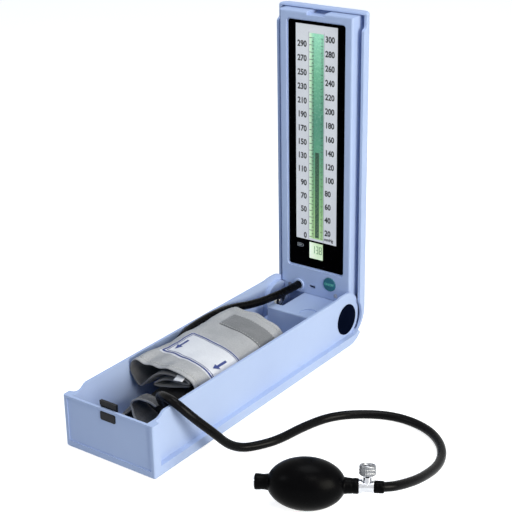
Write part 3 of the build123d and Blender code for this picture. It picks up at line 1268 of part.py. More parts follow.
check_solid = turned(
    [(-CHECK_END, -NECK_LEFT_END, 5.0), (-NECK_LEFT_END, -NECK_LEFT_END + 6.0, STEM_RADIUS), (-CHECK_END - 0.8, -CHECK_END, 3.6)]
)
check_solid = check_solid - turned([(-CHECK_END - 1, -NECK_LEFT_END + 7.0, 1.5)])
with BuildPart() as check_valve:
    add(bulb_place * check_solid)
save(check_valve.part, "check_valve")

knob_place = Location((48.0, 0, 0), (-KNOB_LEAN, 0, 0))


def upright(rings):
    """A private solid of stacked discs along the knob's leaning axis."""
    solid = None
    for low, high, radius in rings:
        step = knob_place * Pos(0, 0, low) * extrude(Circle(radius), amount=high - low)
        solid = step if solid is None else solid + step
    return solid


body_solid = turned(
    [
        (NECK_RIGHT_END - 7.0, NECK_RIGHT_END, STEM_RADIUS),
        (NECK_RIGHT_END, NECK_RIGHT_END + 2.6, 5.6),
        (NECK_RIGHT_END + 2.6, VALVE_END - 1.2, VALVE_RADIUS - 0.6),
        (VALVE_END - 1.2, VALVE_END, VALVE_RADIUS),
    ]
)
body_solid = body_solid + upright([(0, KNOB_BASE - 1.2, 3.4)])
body_solid = body_solid - turned([(NECK_RIGHT_END - 8.0, VALVE_END + 1, 1.2)])
body_solid = body_solid - upright([(1.0, KNOB_BASE, KNOB_SPINDLE + KNOB_TURNS_PLAY)])
with BuildPart() as valve_body:
    add(bulb_place * body_solid)
save(valve_body.part, "valve_body")

knob_solid = upright([(1.4, KNOB_BASE, KNOB_SPINDLE), (KNOB_BASE, KNOB_BASE + KNOB_HEIGHT, KNOB_RADIUS)])
knob_rims = knob_solid.edges().filter_by(GeomType.CIRCLE).filter_by(lambda e: e.radius > KNOB_RADIUS - 0.1)
knob_solid = chamfer(knob_rims, 0.7)
knob_solid = knob_solid - upright([(KNOB_BASE + KNOB_HEIGHT - 1.2, KNOB_BASE + KNOB_HEIGHT + 1, 2.8)])
with BuildPart() as valve_knob:
    add(bulb_place * knob_solid)
save(valve_knob.part, "valve_knob")
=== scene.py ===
"""Desk blood pressure gauge with a liquid-crystal column in its lid, its rolled cuff, two hoses, bulb and valve."""

import logging
import math
from dataclasses import dataclass, field
from enum import Enum

import bmesh
import bpy
import numpy as np
from mathutils import Matrix, Vector


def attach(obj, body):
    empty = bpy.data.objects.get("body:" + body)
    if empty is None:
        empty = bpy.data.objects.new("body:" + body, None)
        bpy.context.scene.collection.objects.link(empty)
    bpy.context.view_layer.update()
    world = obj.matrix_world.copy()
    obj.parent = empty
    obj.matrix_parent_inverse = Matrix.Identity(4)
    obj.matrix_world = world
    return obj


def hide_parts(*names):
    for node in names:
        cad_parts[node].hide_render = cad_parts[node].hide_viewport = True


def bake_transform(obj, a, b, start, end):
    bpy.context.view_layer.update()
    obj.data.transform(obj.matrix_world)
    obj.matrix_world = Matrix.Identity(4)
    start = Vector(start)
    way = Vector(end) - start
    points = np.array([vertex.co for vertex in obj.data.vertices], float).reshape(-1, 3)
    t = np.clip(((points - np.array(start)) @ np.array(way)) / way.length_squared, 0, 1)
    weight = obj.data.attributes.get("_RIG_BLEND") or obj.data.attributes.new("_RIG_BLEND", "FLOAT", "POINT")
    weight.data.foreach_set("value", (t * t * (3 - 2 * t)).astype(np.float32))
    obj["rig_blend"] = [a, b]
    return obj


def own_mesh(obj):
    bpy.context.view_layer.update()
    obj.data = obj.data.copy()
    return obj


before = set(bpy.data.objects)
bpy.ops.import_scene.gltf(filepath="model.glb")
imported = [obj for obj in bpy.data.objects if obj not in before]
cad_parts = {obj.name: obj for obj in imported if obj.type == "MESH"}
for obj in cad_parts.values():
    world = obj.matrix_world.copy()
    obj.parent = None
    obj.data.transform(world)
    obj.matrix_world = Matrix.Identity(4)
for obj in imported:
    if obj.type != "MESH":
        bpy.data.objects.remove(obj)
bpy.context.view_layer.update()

log = logging.getLogger("gauge")

Colour = tuple[float, float, float]
Point = tuple[float, float, float]
Pair = tuple[float, float]
Wave = tuple[float, int, float]  # height in millimetres, seed and length in millimetres
Bar = tuple[float, float, float, float]  # left, right, bottom and top in millimetres
Words = tuple[str, float, float, float, str]  # text, x, middle height, letter height and side it is set from
Array = np.ndarray
Socket = bpy.types.NodeSocket
Piece = bpy.types.Object

MM = 0.001
AXIS_Y = 151.0  # from the frame's origin back to the hinge axis, in millimetres
FOOT_RISE = 0.3  # how far the rubber feet lift the tray, in millimetres
VALVE_LINE = (0.8695, 0.4939, 0.0)  # direction of the bulb and of the valve's body
HOSE_END = (219.96, -85.42, 21.6)  # where the hose is pushed on the valve, in millimetres
DUST = (0.32, 0.32, 0.33)
BAND = 0.314  # metres from band to band of a wave texture whose scale is 1


def srgb(red: float, green: float, blue: float) -> Colour:
    """Turn a screen colour into the linear colour that a shader takes.

    Args:
        red: Red from 0 to 255.
        green: Green from 0 to 255.
        blue: Blue from 0 to 255.

    Returns:
        The three linear values from 0 to 1.
    """
    def linear(value: float) -> float:
        """Undo the screen's curve for one value."""
        share = value / 255
        return share / 12.92 if share <= 0.04045 else ((share + 0.055) / 1.055) ** 2.4
    return linear(red), linear(green), linear(blue)


class Weave(Enum):
    """The three cloths on the object, each with the depth of its threads and of its pile in metres."""

    NYLON = (0.00012, 0.00006)
    LOOP = (0.00005, 0.0005)
    RIBBON = (0.00003, 0.00002)


class Nodes:
    """A short way to write the node tree of a material or of the world."""

    def __init__(self, owner: bpy.types.Material | bpy.types.World) -> None:
        """Empty the owner's tree."""
        owner.use_nodes = True
        self.tree = owner.node_tree
        self.tree.nodes.clear()

    def fill(self, node: bpy.types.Node, values: dict[str | int, object]) -> None:
        """Link or set a node's inputs.

        Args:
            node: The node.
            values: A socket or a plain value for each input, by the input's name or number.
        """
        for key, value in values.items():
            if isinstance(value, Socket):
                self.tree.links.new(value, node.inputs[key])
            else:
                node.inputs[key].default_value = value

    def add(self, kind: str, values: dict[str | int, object] | None = None, **facts: object) -> bpy.types.Node:
        """Add a node.

        Args:
            kind: The node's type without the word ShaderNode.
            values: Values or sockets for its inputs, by name or number.
            facts: Settings of the node itself.

        Returns:
            The new node.
        """
        made = self.tree.nodes.new("ShaderNode" + kind)
        for key, value in facts.items():
            setattr(made, key, value)
        self.fill(made, values or {})
        return made

    def combined(self, operation: str, first: Socket, second: Socket, clamp: bool = False) -> Socket:
        """Two values added or multiplied, as the operation says, and kept from 0 to 1 if clamped."""
        return self.add("Math", {0: first, 1: second}, operation=operation, use_clamp=clamp).outputs[0]

    def seen(self) -> Socket:
        """Find out who looks at a surround, so that light can be told from background.

        Returns:
            1 for the camera's rays and for mirrored and refracted ones, 0 for the rays that carry light.
        """
        paths = self.add("LightPath").outputs
        total = paths["Is Camera Ray"]
        for kind in ("Is Glossy Ray", "Is Transmission Ray"):
            total = self.combined("ADD", total, paths[kind], True)
        return total


class Paint(Nodes):
    """The tree of a new material, with one Principled shader and the patterns that the finishes share."""

    def __init__(self, name: str) -> None:
        """Start the material."""
        self.made = bpy.data.materials.new(name)
        super().__init__(self.made)
        self.shader = self.add("BsdfPrincipled")
        self.add("OutputMaterial", {0: self.shader.outputs[0]})

    def place(self, which: str = "Object") -> Socket:
        """The coordinates that a pattern reads, in metres."""
        return self.add("TexCoord").outputs[which]

    def noise(self, size: float, detail: float) -> Socket:
        """Cloudy noise whose patches are about size metres across."""
        return self.add("TexNoise", {"Vector": self.place(), "Scale": 1 / size, "Detail": detail}).outputs["Fac"]

    def ramp(self, value: Socket, stops: list[tuple[float, Colour]]) -> Socket:
        """Colours spread over a value from 0 to 1.

        Args:
            value: What the colours are spread over.
            stops: Each place and its colour.

        Returns:
            The colour socket.
        """
        made = self.add("ValToRGB", {"Fac": value})
        band = made.color_ramp
        while len(band.elements) < len(stops):
            band.elements.new(0.5)
        for element, (place, colour) in zip(band.elements, stops):
            element.position = place
            element.color = (*colour, 1)
        return made.outputs["Color"]

    def mixed(self, share: Socket, under: Socket, over: Colour) -> Socket:
        """A colour that turns into a plain one as the share goes from 0 to 1."""
        return self.add("Mix", {"Factor": share, 6: under, 7: (*over, 1)}, data_type="RGBA").outputs[2]

    def spread(self, value: Socket, low: float, high: float, start: float = 0.3, end: float = 0.7) -> Socket:
        """Stretch a value between start and end over low to high."""
        limits = {"From Min": start, "From Max": end, "To Min": low, "To Max": high}
        return self.add("MapRange", {"Value": value, **limits}).outputs[0]

    def relief(self, height: Socket, depth: float, under: Socket | None = None) -> Socket:
        """Bump of a depth in metres, over an earlier one if given."""
        lower = {} if under is None else {"Normal": under}
        return self.add("Bump", {"Height": height, "Distance": depth, "Strength": 1.0, **lower}).outputs[0]

    def set(self, values: dict[str | int, object]) -> None:
        """Fill the shader's own sockets with values or links."""
        self.fill(self.shader, values)


@dataclass(frozen=True)
class Finish:
    """A named material, made when the first piece asks for it."""

    name: str

    def material(self) -> bpy.types.Material:
        """Build the finish once.

        Returns:
            The new material, or the one that an earlier piece has made.
        """
        known = bpy.data.materials.get(self.name)
        if known:
            return known
        tree = Paint(self.name)
        self.paint(tree)
        return tree.made

    def paint(self, tree: Paint) -> None:
        """Lay the finish's own nodes."""
        raise NotImplementedError


@dataclass(frozen=True)
class Moulded(Finish):
    """Moulded plastic, rubber or metal: faint clouding, a fine skin and uneven gloss, with its sizes in metres."""

    low: Colour
    high: Colour
    gloss: Pair = (0.38, 0.5)
    cloud: float = 0.05
    grain: float = 0.0009
    depth: float = 0.00003
    metal: float = 0.0
    alpha: float = 1.0
    dust: float = 0.0
    shine: float = 0.5
    # painted glow: emission that brightens the finish though it is no lamp
    glow: float = 0.0

    def paint(self, tree: Paint) -> None:
        """Spread two tones over clouds and dust over scuffs, add any painted glow, and lay a fine relief on a wide one.

        Args:
            tree: The material's tree.
        """
        scuffs = tree.noise(self.cloud * 0.3, 4)
        colour = tree.ramp(tree.noise(self.cloud, 3), [(0.3, self.low), (0.7, self.high)])
        if self.dust:
            colour = tree.mixed(tree.spread(scuffs, 0, self.dust, 0.55, 0.8), colour, DUST)
        # painted glow: the colour is also given off as light
        if self.glow:
            tree.set({"Emission Color": colour, "Emission Strength": self.glow})
        wide = tree.relief(tree.noise(self.cloud * 0.5, 1), self.depth * 4)
        skin = tree.relief(tree.noise(self.grain, 1.5), self.depth, wide)
        tree.set({"Base Color": colour, "Roughness": tree.spread(scuffs, *self.gloss), "Metallic": self.metal,
                  "Alpha": self.alpha, "Specular IOR Level": self.shine, "Normal": skin})


@dataclass(frozen=True)
class Cloth(Finish):
    """Cloth with its threads along the piece's own UV map, which is in metres."""

    low: Colour
    high: Colour
    weave: Weave = Weave.NYLON
    pitch: float = 0.0011
    rough: float = 0.85
    sheen: float = 0.25
    # painted shade: a darker colour for the roll's inner folds and inner side, where light does not reach
    lining: Colour | None = None
    lining_from: float = 0.112

    def paint(self, tree: Paint) -> None:
        """Spread two tones over clouds and flecks, darken to a painted shade inside, and cross two sets of threads.

        Args:
            tree: The material's tree.
        """
        where = tree.place("UV")
        clouds, flecks = tree.noise(0.03, 4), tree.noise(0.0013, 2)
        share = tree.spread(tree.combined("ADD", clouds, flecks), 0, 1, 0.7, 1.3)
        colour = tree.ramp(share, [(0.0, self.low), (1.0, self.high)])
        # painted shade on the inner folds, past the given distance along the section
        if self.lining:
            along = tree.add("SeparateXYZ", {0: where}).outputs["X"]
            inside = tree.spread(along, 0, 1, self.lining_from, self.lining_from + 0.006)
            colour = tree.mixed(inside, colour, self.lining)
        waves = {"Vector": where, "Scale": BAND / self.pitch, "Distortion": 0.6, "Detail": 1.0, "Detail Scale": 2.0}
        warp, weft = [tree.add("TexWave", waves, bands_direction=way).outputs["Fac"] for way in "XY"]
        deep, pile = self.weave.value
        bump = tree.relief(tree.combined("MULTIPLY", warp, weft), deep, tree.relief(flecks, pile))
        rough = tree.spread(clouds, self.rough - 0.08, min(1.0, self.rough + 0.08))
        tree.set({"Base Color": colour, "Roughness": rough, "Sheen Weight": self.sheen, "Sheen Roughness": 0.5,
                  "Normal": bump})


@dataclass(frozen=True)
class Glow(Finish):
    """A backlit display: colours over its height, a painted highlight along one side, with its own weak light."""

    stops: tuple[tuple[float, Colour], ...]
    low: float
    high: float
    # edge and the x range after it: a painted highlight down one side of the glass
    edge: Colour
    edge_x: Pair
    light: float = 0.35

    def paint(self, tree: Paint) -> None:
        """Spread the colours from the low end to the high end, and a painted highlight over the given range of x.

        Args:
            tree: The material's tree.
        """
        axes = tree.add("SeparateXYZ", {0: tree.place()}).outputs
        share = tree.spread(axes["Z"], 0, 1, self.low, self.high)
        grain = tree.noise(0.0016, 3)
        colour = tree.ramp(tree.combined("ADD", share, tree.spread(grain, -0.04, 0.04)), list(self.stops))
        # painted highlight: the edge's paler colour laid over one side
        colour_with_highlight = tree.mixed(tree.spread(axes["X"], 0.8, 0, *self.edge_x), colour, self.edge)
        tree.set({"Base Color": colour_with_highlight, "Emission Color": colour_with_highlight, "Emission Strength": self.light,
                  "Roughness": tree.spread(grain, 0.22, 0.3)})


CASE = Moulded("pale_blue_case", srgb(171, 188, 225), srgb(178, 195, 230), (0.42, 0.55), 0.07, 0.0008, 0.00002,
               shine=0.3)
NAVY = Moulded("navy_black_caps", srgb(5, 10, 26), srgb(9, 14, 32), (0.45, 0.58), 0.02, 0.0007, 0.00004, shine=0.0)
BLACK = Moulded("black_catch", srgb(9, 10, 15), srgb(15, 16, 22), (0.35, 0.5), 0.02, 0.0007, 0.00004, shine=0.15)
MASK = Moulded("mask_print", srgb(1, 1, 2), srgb(3, 3, 4), (0.45, 0.6), 0.03, 0.0006, 0.00001, shine=0.0)
CLEAR = Moulded("clear_window", srgb(16, 16, 20), srgb(22, 22, 26), (0.06, 0.1), 0.05, 0.003, 0.000004,
                alpha=0.02, shine=0.03)
# the scale plate has a painted glow that makes it brighter than its light allows
SCALE = Moulded("scale_plate_paint", srgb(214, 216, 222), srgb(222, 224, 229), (0.5, 0.6), 0.05, 0.0005, 0.00001,
                glow=0.22)
INK = Moulded("scale_ink", srgb(18, 20, 24), srgb(28, 30, 34), (0.5, 0.6), 0.01, 0.0004, 0.000005)
PALE_INK = Moulded("mask_ink", srgb(140, 146, 152), srgb(160, 166, 172), (0.5, 0.6), 0.01, 0.0004, 0.000005)
SEGMENT = Moulded("dark_segment", srgb(22, 66, 48), srgb(30, 80, 58), (0.3, 0.4), 0.01, 0.0006, 0.00001)
DIGIT = Moulded("dark_digit", srgb(96, 140, 98), srgb(108, 152, 108), (0.3, 0.4), 0.01, 0.0006, 0.00001)
TEAL = Moulded("teal_button", srgb(30, 96, 112), srgb(38, 108, 124), (0.35, 0.45), 0.01, 0.0006)
TEAL_INK = Moulded("button_ink", srgb(96, 190, 170), srgb(110, 200, 180), (0.5, 0.6), 0.01, 0.0004, 0.000005)
GUIDE = Moulded("light_guide_acrylic", srgb(196, 224, 200), srgb(210, 232, 212), (0.15, 0.25), 0.02, 0.001, 0.00001)
BOARD = Moulded("board_lacquer", srgb(20, 92, 52), srgb(28, 108, 62), (0.3, 0.45), 0.01, 0.0008)
STEEL = Moulded("plated_steel", srgb(176, 176, 180), srgb(196, 196, 200), (0.25, 0.4), 0.006, 0.0005, 0.00001, 1.0)
# dark grey steel; on the hinge yoke, seen through the slot under the hose, the dark is painted shade
DARK_STEEL = Moulded("dark_grey_steel", srgb(44, 46, 54), srgb(58, 60, 68), (0.35, 0.5), 0.006, 0.0005, 0.00001, 0.8)
CHROME = Moulded("polished_chrome", srgb(196, 198, 204), srgb(214, 216, 220), (0.08, 0.2), 0.004, 0.0008, 0.000006, 1.0)
GUNMETAL = Moulded("knurled_nickel", srgb(120, 122, 126), srgb(150, 152, 156), (0.2, 0.32), 0.004, 0.0006, 0.000008,
                   1.0)
NYLON = Moulded("white_nylon", srgb(226, 226, 220), srgb(236, 236, 230), (0.45, 0.6), 0.02, 0.0008)
RUBBER = Moulded("moulded_rubber", srgb(2, 2, 3), srgb(5, 5, 6), (0.27, 0.34), 0.02, 0.0007, 0.00002,
                 dust=0.001, shine=0.03)
HOSE = Moulded("hose_rubber", srgb(2, 2, 3), srgb(5, 5, 6), (0.24, 0.32), 0.015, 0.0006, 0.00002,
               dust=0.001, shine=0.08)
JACKET = Moulded("cell_jacket", srgb(52, 60, 74), srgb(66, 74, 88), (0.3, 0.4), 0.02, 0.0008, 0.00001, 0.4)
SILICONE = Moulded("clear_tube", srgb(214, 212, 202), srgb(224, 222, 212), (0.3, 0.4), 0.01, 0.0008, 0.00002)
# the cuff's inner folds and inner side are darkened by painted shade
CUFF_NYLON = Cloth("grey_cuff_nylon", srgb(150, 150, 153), srgb(178, 178, 180), lining=srgb(96, 96, 99))
PIPING_NYLON = Cloth("dark_piping_nylon", srgb(120, 120, 122), srgb(140, 140, 142))
# near black: the bag's own dark cloth and painted shade of the deep space under the roll
BAG_NYLON_AND_SHADE = Cloth("black_bag_nylon_and_painted_shade", srgb(7, 7, 9), srgb(14, 14, 17), sheen=0.02)
TAIL_NYLON = Cloth("charcoal_tail_nylon", srgb(60, 60, 63), srgb(84, 84, 86))
LOOP_PILE = Cloth("grey_loop_pile", srgb(100, 101, 104), srgb(122, 123, 126), Weave.LOOP, 0.0016, 0.95, 0.3)
LABEL_SATIN = Cloth("white_label_satin", srgb(208, 209, 215), srgb(220, 221, 227), Weave.RIBBON, 0.0006, 0.6, 0.1)
LABEL_INK = Cloth("navy_label_ink", srgb(34, 50, 110), srgb(44, 62, 126), Weave.RIBBON, 0.0006, 0.65, 0.1)
THREAD = Cloth("pale_thread", srgb(196, 196, 194), srgb(214, 214, 212), Weave.RIBBON, 0.0004, 0.7, 0.2)
# the column and the readout carry a painted highlight on their left side
COLUMN_GLOW = Glow("green_column", ((0.0, srgb(170, 210, 146)), (0.18, srgb(130, 184, 124)),
                                    (0.42, srgb(82, 150, 118)), (0.58, srgb(72, 138, 114)),
                                    (0.8, srgb(106, 176, 140)), (1.0, srgb(150, 216, 184))),
                   0.1006, 0.3076, srgb(226, 250, 214), (-0.0078, -0.0034))
READOUT_GLOW = Glow("green_readout", ((0.0, srgb(214, 234, 200)), (1.0, srgb(190, 214, 174))), 0.079, 0.0961,
                    srgb(240, 250, 232), (-0.0079, 0.002), 0.5)


def lift(points: Array) -> Array:
    """Turn points in millimetres into metres."""
    return np.asarray(points, float) * MM


def unit(rows: Array, least: float = 0.0) -> Array:
    """Vectors along the last axis divided by their length, or by the least one that is allowed."""
    return rows / np.maximum(np.linalg.norm(rows, axis=-1, keepdims=True), least)


def in_tray(section: Array, y: Array) -> Array:
    """Stand a flat section up in the tray.

    Args:
        section: Its x and its height above the tray's underside, in millimetres, along the last axis.
        y: Where it stands, in millimetres from the hinge axis.

    Returns:
        The points in the frame's millimetres.
    """
    y = np.broadcast_to(AXIS_Y + y, section.shape[:-1])
    return np.stack([section[..., 0], y, section[..., 1] + FOOT_RISE], -1)


def hang(name: str, data: bpy.types.ID) -> Piece:
    """Put a mesh, a curve, a lamp or a camera into the scene.

    Args:
        name: The new object's name.
        data: What it shows.

    Returns:
        The object, at the origin.
    """
    made = bpy.data.objects.new(name, data)
    bpy.context.scene.collection.objects.link(made)
    return made


def settled(piece: Piece) -> bpy.types.Mesh:
    """The mesh that a curve, a text or a piece with modifiers ends in."""
    bpy.context.view_layer.update()
    return bpy.data.meshes.new_from_object(piece.evaluated_get(bpy.context.evaluated_depsgraph_get()))


def points_of(mesh: bpy.types.Mesh) -> Array:
    """Read a mesh's vertices.

    Args:
        mesh: The mesh.

    Returns:
        A row for each vertex.
    """
    points = np.zeros(len(mesh.vertices) * 3, np.float32)
    mesh.vertices.foreach_get("co", points)
    return points.reshape(-1, 3)


def make(name: str, points: Array, faces: Array, uv: Array | None = None, smooth: bool = True) -> Piece:
    """Put arrays into a new mesh object.

    Args:
        name: The piece's name.
        points: Vertices in metres, one row each.
        faces: Vertex numbers, a row for each face, all with as many corners.
        uv: The pattern's place for every vertex, in metres.
        smooth: Whether the faces shade smoothly.

    Returns:
        The object, at the origin.
    """
    faces = np.asarray(faces, np.int32)
    mesh = bpy.data.meshes.new(name)
    mesh.vertices.add(len(points))
    mesh.vertices.foreach_set("co", np.asarray(points, np.float32).ravel())
    count, corners = faces.shape
    mesh.loops.add(count * corners)
    mesh.loops.foreach_set("vertex_index", faces.ravel())
    mesh.polygons.add(count)
    mesh.polygons.foreach_set("loop_start", np.arange(count, dtype=np.int32) * corners)
    mesh.polygons.foreach_set("use_smooth", np.full(count, smooth))
    mesh.update(calc_edges=True)
    mesh.validate()
    if uv is not None:
        layer = mesh.uv_layers.new(name="UVMap")
        layer.data.foreach_set("uv", np.asarray(uv, np.float32)[faces.ravel()].ravel())
    return hang(name, mesh)


def merged(piece: Piece) -> Piece:
    """Close a piece's seams: doubled points become one, and the faces turn outwards.

    Args:
        piece: A mesh object.

    Returns:
        The same object.
    """
    work = bmesh.new()
    work.from_mesh(piece.data)
    bmesh.ops.remove_doubles(work, verts=work.verts, dist=0.00003)
    bmesh.ops.recalc_face_normals(work, faces=work.faces)
    work.to_mesh(piece.data)
    work.free()
    return piece


def face_up(piece: Piece) -> Piece:
    """Turn a thin print's faces to the outer side, which is up or to the near side.

    Args:
        piece: A mesh object without thickness.

    Returns:
        The same object.
    """
    mesh = piece.data
    normals = np.zeros(len(mesh.polygons) * 3, np.float32)
    mesh.polygons.foreach_get("normal", normals)
    total = normals.reshape(-1, 3).sum(0)
    if total[2] + 0.3 * total[0] < 0:
        mesh.flip_normals()
    return piece


def under_lid(piece: Piece) -> Piece:
    """Put a soft piece's modifiers into its mesh and give it a mesh of its own.

    Args:
        piece: A dressed piece.

    Returns:
        The same piece.
    """
    if piece.modifiers:
        solid = settled(piece)
        piece.modifiers.clear()
        piece.data = solid
    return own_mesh(piece)


def grid_faces(rows: int, columns: int, round_rows: bool = False, round_columns: bool = False, start: int = 0) -> Array:
    """Quads between neighbours of a grid of points stored row by row.

    Args:
        rows: How many rows of points.
        columns: How many points in a row.
        round_rows: Whether the last row joins the first.
        round_columns: Whether the last point of a row joins its first.
        start: The number of the grid's first point.

    Returns:
        One row of four vertex numbers for each quad.
    """
    i = np.arange(rows if round_rows else rows - 1)
    j = np.arange(columns if round_columns else columns - 1)
    i, j = np.meshgrid(i, j, indexing="ij")
    i2, j2 = (i + 1) % rows, (j + 1) % columns
    quads = np.stack([i * columns + j, i2 * columns + j, i2 * columns + j2, i * columns + j2], -1)
    return quads.reshape(-1, 4) + start


def sheet(name: str, outer: Array, inner: Array, pattern: Array, apart: float = 0.0) -> Piece:
    """Close two grids of points into one sheet: the outer side, and the inner one with its faces turned over.

    Args:
        name: The piece's name.
        outer: Points of the outer side in millimetres, in rows and columns.
        inner: The same of the inner side, which meets the outer one at the border.
        pattern: The pattern's place for each of them, in millimetres.
        apart: How far the inner side's pattern is moved along, in metres; the cuff moves it into its painted shade.

    Returns:
        The mesh object.
    """
    rows, columns = outer.shape[:2]
    faces = [grid_faces(rows, columns), grid_faces(rows, columns, start=rows * columns)[:, ::-1]]
    points = np.concatenate([outer.reshape(-1, 3), inner.reshape(-1, 3)])
    uv = pattern.reshape(-1, 2) * MM
    return merged(make(name, lift(points), np.concatenate(faces), np.concatenate([uv, uv + [apart, 0.0]])))


def dress(piece: Piece, finish: Finish, body: str, slot: str, *stands_for: str) -> Piece:
    """Give a new piece its finish and body, and hide the solids that it stands for.

    Args:
        piece: The new piece.
        finish: Its material.
        body: The body that it rides on, unless it is blended between two.
        slot: Not used.
        stands_for: The solids that it replaces.

    Returns:
        The same piece.
    """
    piece.data.materials.clear()
    piece.data.materials.append(finish.material())
    if "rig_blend" not in piece:
        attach(piece, body)
    if stands_for:
        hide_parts(*stands_for)
    log.info("%s: %d points", piece.name, len(piece.data.vertices) if piece.type == "MESH" else 0)
    return piece


def spline(points: Array, count: int, closed: bool = False) -> Array:
    """Points on a uniform cubic B-spline: each is the weighted sum of four neighbouring control points.

    Args:
        points: Control points in rows, with any further axes.
        count: How many points to give back.
        closed: Whether the line runs round to its start.

    Returns:
        The points, along the first axis.
    """
    points = np.asarray(points, float)
    if closed:
        work = np.concatenate([points[-1:], points, points[:2]])
        spans = len(points)
    else:
        work = np.concatenate([2 * points[:1] - points[1:2], points, 2 * points[-1:] - points[-2:-1]])
        spans = len(points) - 1
    place = np.linspace(0, spans, count, endpoint=not closed)
    at = np.minimum(place.astype(int), spans - 1)
    t = (place - at).reshape((-1,) + (1,) * (points.ndim - 1))
    return ((1 - t) ** 3 * work[at] + (3 * t ** 3 - 6 * t ** 2 + 4) * work[at + 1]
            + (-3 * t ** 3 + 3 * t ** 2 + 3 * t + 1) * work[at + 2] + t ** 3 * work[at + 3]) / 6


def even(line: Array, count: int) -> Array:
    """Space the points of a line evenly: its coordinates are read off at equal steps of the length run.

    Args:
        line: Points in rows.
        count: How many points to give back.

    Returns:
        The evenly spaced points.
    """
    run = np.concatenate([[0], np.cumsum(np.linalg.norm(np.diff(line, axis=0), axis=1))])
    where = np.linspace(0, run[-1], count)
    return np.stack([np.interp(where, run, line[:, k]) for k in range(line.shape[1])], 1)


def ease(value: Array) -> Array:
    """Smooth step from 0 to 1: three times the square less twice the cube."""
    value = np.clip(value, 0, 1)
    return value * value * (3 - 2 * value)


def border_of(s: Array, y: Array, start: float, end: Array | float, front: Array | float, rear: float) -> Array:
    """Distance to a sheet's nearest edge: the least of the distances to its start, end, front and rear."""
    return np.minimum(np.minimum(s - start, end - s), np.minimum(y - front, rear - y))


def ripple(u: Array, v: Array, seed: int, size: float, count: int = 7) -> Array:
    """Soft creases: a sum of sine waves in different directions, all about size millimetres long.

    Args:
        u: First coordinate in millimetres.
        v: Second coordinate in millimetres.
        seed: Fixes the directions.
        size: Mean wave length in millimetres.
        count: How many waves.

    Returns:
        Heights from about -1 to 1.
    """
    rng = np.random.default_rng(seed)
    total = np.zeros(np.broadcast(u, v).shape)
    for _ in range(count):
        turn, phase = rng.uniform(0, math.pi), rng.uniform(0, 2 * math.pi)
        length = size * rng.uniform(0.7, 1.6)
        total += np.sin(2 * math.pi * (u * math.cos(turn) + v * math.sin(turn)) / length + phase)
    return total / math.sqrt(count) / 1.5


def creases(u: Array, v: Array, waves: tuple[Wave, ...]) -> Array:
    """Ripples of several sizes added up, each given by its height, its seed and its length in millimetres."""
    return sum(height * ripple(u, v, seed, size) for height, seed, size in waves)


def lathe(profile: Array, centre: Point, axis: Point, turns: int) -> tuple[Array, Array]:
    """Turn a profile round an axis: the centre, plus the distance along it, plus the radius times a turned spoke.

    Args:
        profile: Rows of distance along the axis and radius in millimetres.
        centre: A point on the axis in millimetres.
        axis: The axis's direction.
        turns: How many points round.

    Returns:
        Vertices in metres, and quads.
    """
    axis = unit(np.asarray(axis, float))
    side = unit(np.cross(axis, [0, 0, 1.0] if abs(axis[2]) < 0.9 else [1.0, 0, 0]))
    angle = np.linspace(0, 2 * math.pi, turns, endpoint=False)[:, None]
    spokes = np.cos(angle) * side + np.sin(angle) * np.cross(axis, side)
    along, radius = np.asarray(profile, float).T[:, :, None, None]
    points = np.asarray(centre, float) + along * axis + radius * spokes
    return lift(points.reshape(-1, 3)), grid_faces(len(profile), turns, round_columns=True)


def turned(name: str, profile: Array, centre: Point, axis: Point, turns: int) -> Piece:
    """A turned piece, whose profile meets the axis or closes on a neighbour, as a mesh object."""
    return merged(make(name, *lathe(profile, centre, axis, turns)))


def piping(name: str, path: Array, radius: float, sides: int = 8) -> Piece:
    """A thin round cord: a ring at every point of a line, square to it, drawn to a point at both ends.

    Args:
        name: The piece's name.
        path: Points of the line in millimetres.
        radius: Half its thickness in millimetres.
        sides: How many points round.

    Returns:
        The mesh object.
    """
    count = np.arange(len(path))
    along = unit(np.gradient(path, axis=0))
    first = unit(np.cross(along, [0.0, 1.0, 0.0]), 1e-9)
    second = np.cross(along, first)
    angle = np.linspace(0, 2 * math.pi, sides, endpoint=False)
    thin = np.sqrt(np.clip(np.minimum(count, count[::-1]) / 2, 0, 1)) * radius
    ring = np.cos(angle)[None, :, None] * first[:, None] + np.sin(angle)[None, :, None] * second[:, None]
    points = path[:, None] + ring * thin[:, None, None]
    uv = np.stack(np.broadcast_arrays(count[:, None] * 0.6, angle[None]), -1).reshape(-1, 2) * MM
    return merged(make(name, lift(points.reshape(-1, 3)), grid_faces(len(path), sides, round_columns=True), uv))


@dataclass
class Casing:
    """The carried-over solids and the finish of each."""

    finishes: dict[str, Finish] = field(default_factory=lambda: {
        "base_tray": CASE, "rear_cover": CASE, "lid_shell": CASE, "display_housing": CASE, "battery_cover": CASE,
        # the hinge yoke's dark steel is painted shade in the slot under the hose
        "hose_port": CASE, "hinge_yoke": DARK_STEEL, "hinge_caps": NAVY, "hinge_pins": STEEL,
        "friction_washers": NYLON, "latch_button": BLACK, "latch_bracket": BLACK, "latch_spring": STEEL,
        "rubber_feet": RUBBER, "tray_screws": STEEL, "hinge_screws": STEEL, "lid_screws": DARK_STEEL,
        "battery_holder": BLACK, "batteries": JACKET, "battery_contacts": STEEL, "display_window": CLEAR,
        "display_mask": MASK, "scale_plate": SCALE, "backlight": GUIDE, "lcd_column": COLUMN_GLOW,
        "lcd_readout": READOUT_GLOW, "main_board": BOARD, "switch_board": BOARD, "pressure_sensor": BLACK,
        "sensor_tube": SILICONE, "power_button": TEAL, "check_valve": CHROME, "valve_body": CHROME})

    def build(self) -> None:
        """Give every carried-over solid its finish."""
        for name, finish in self.finishes.items():
            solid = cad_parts[name].data
            solid.materials.clear()
            solid.materials.append(finish.material())
            log.info("finish of %s", name)


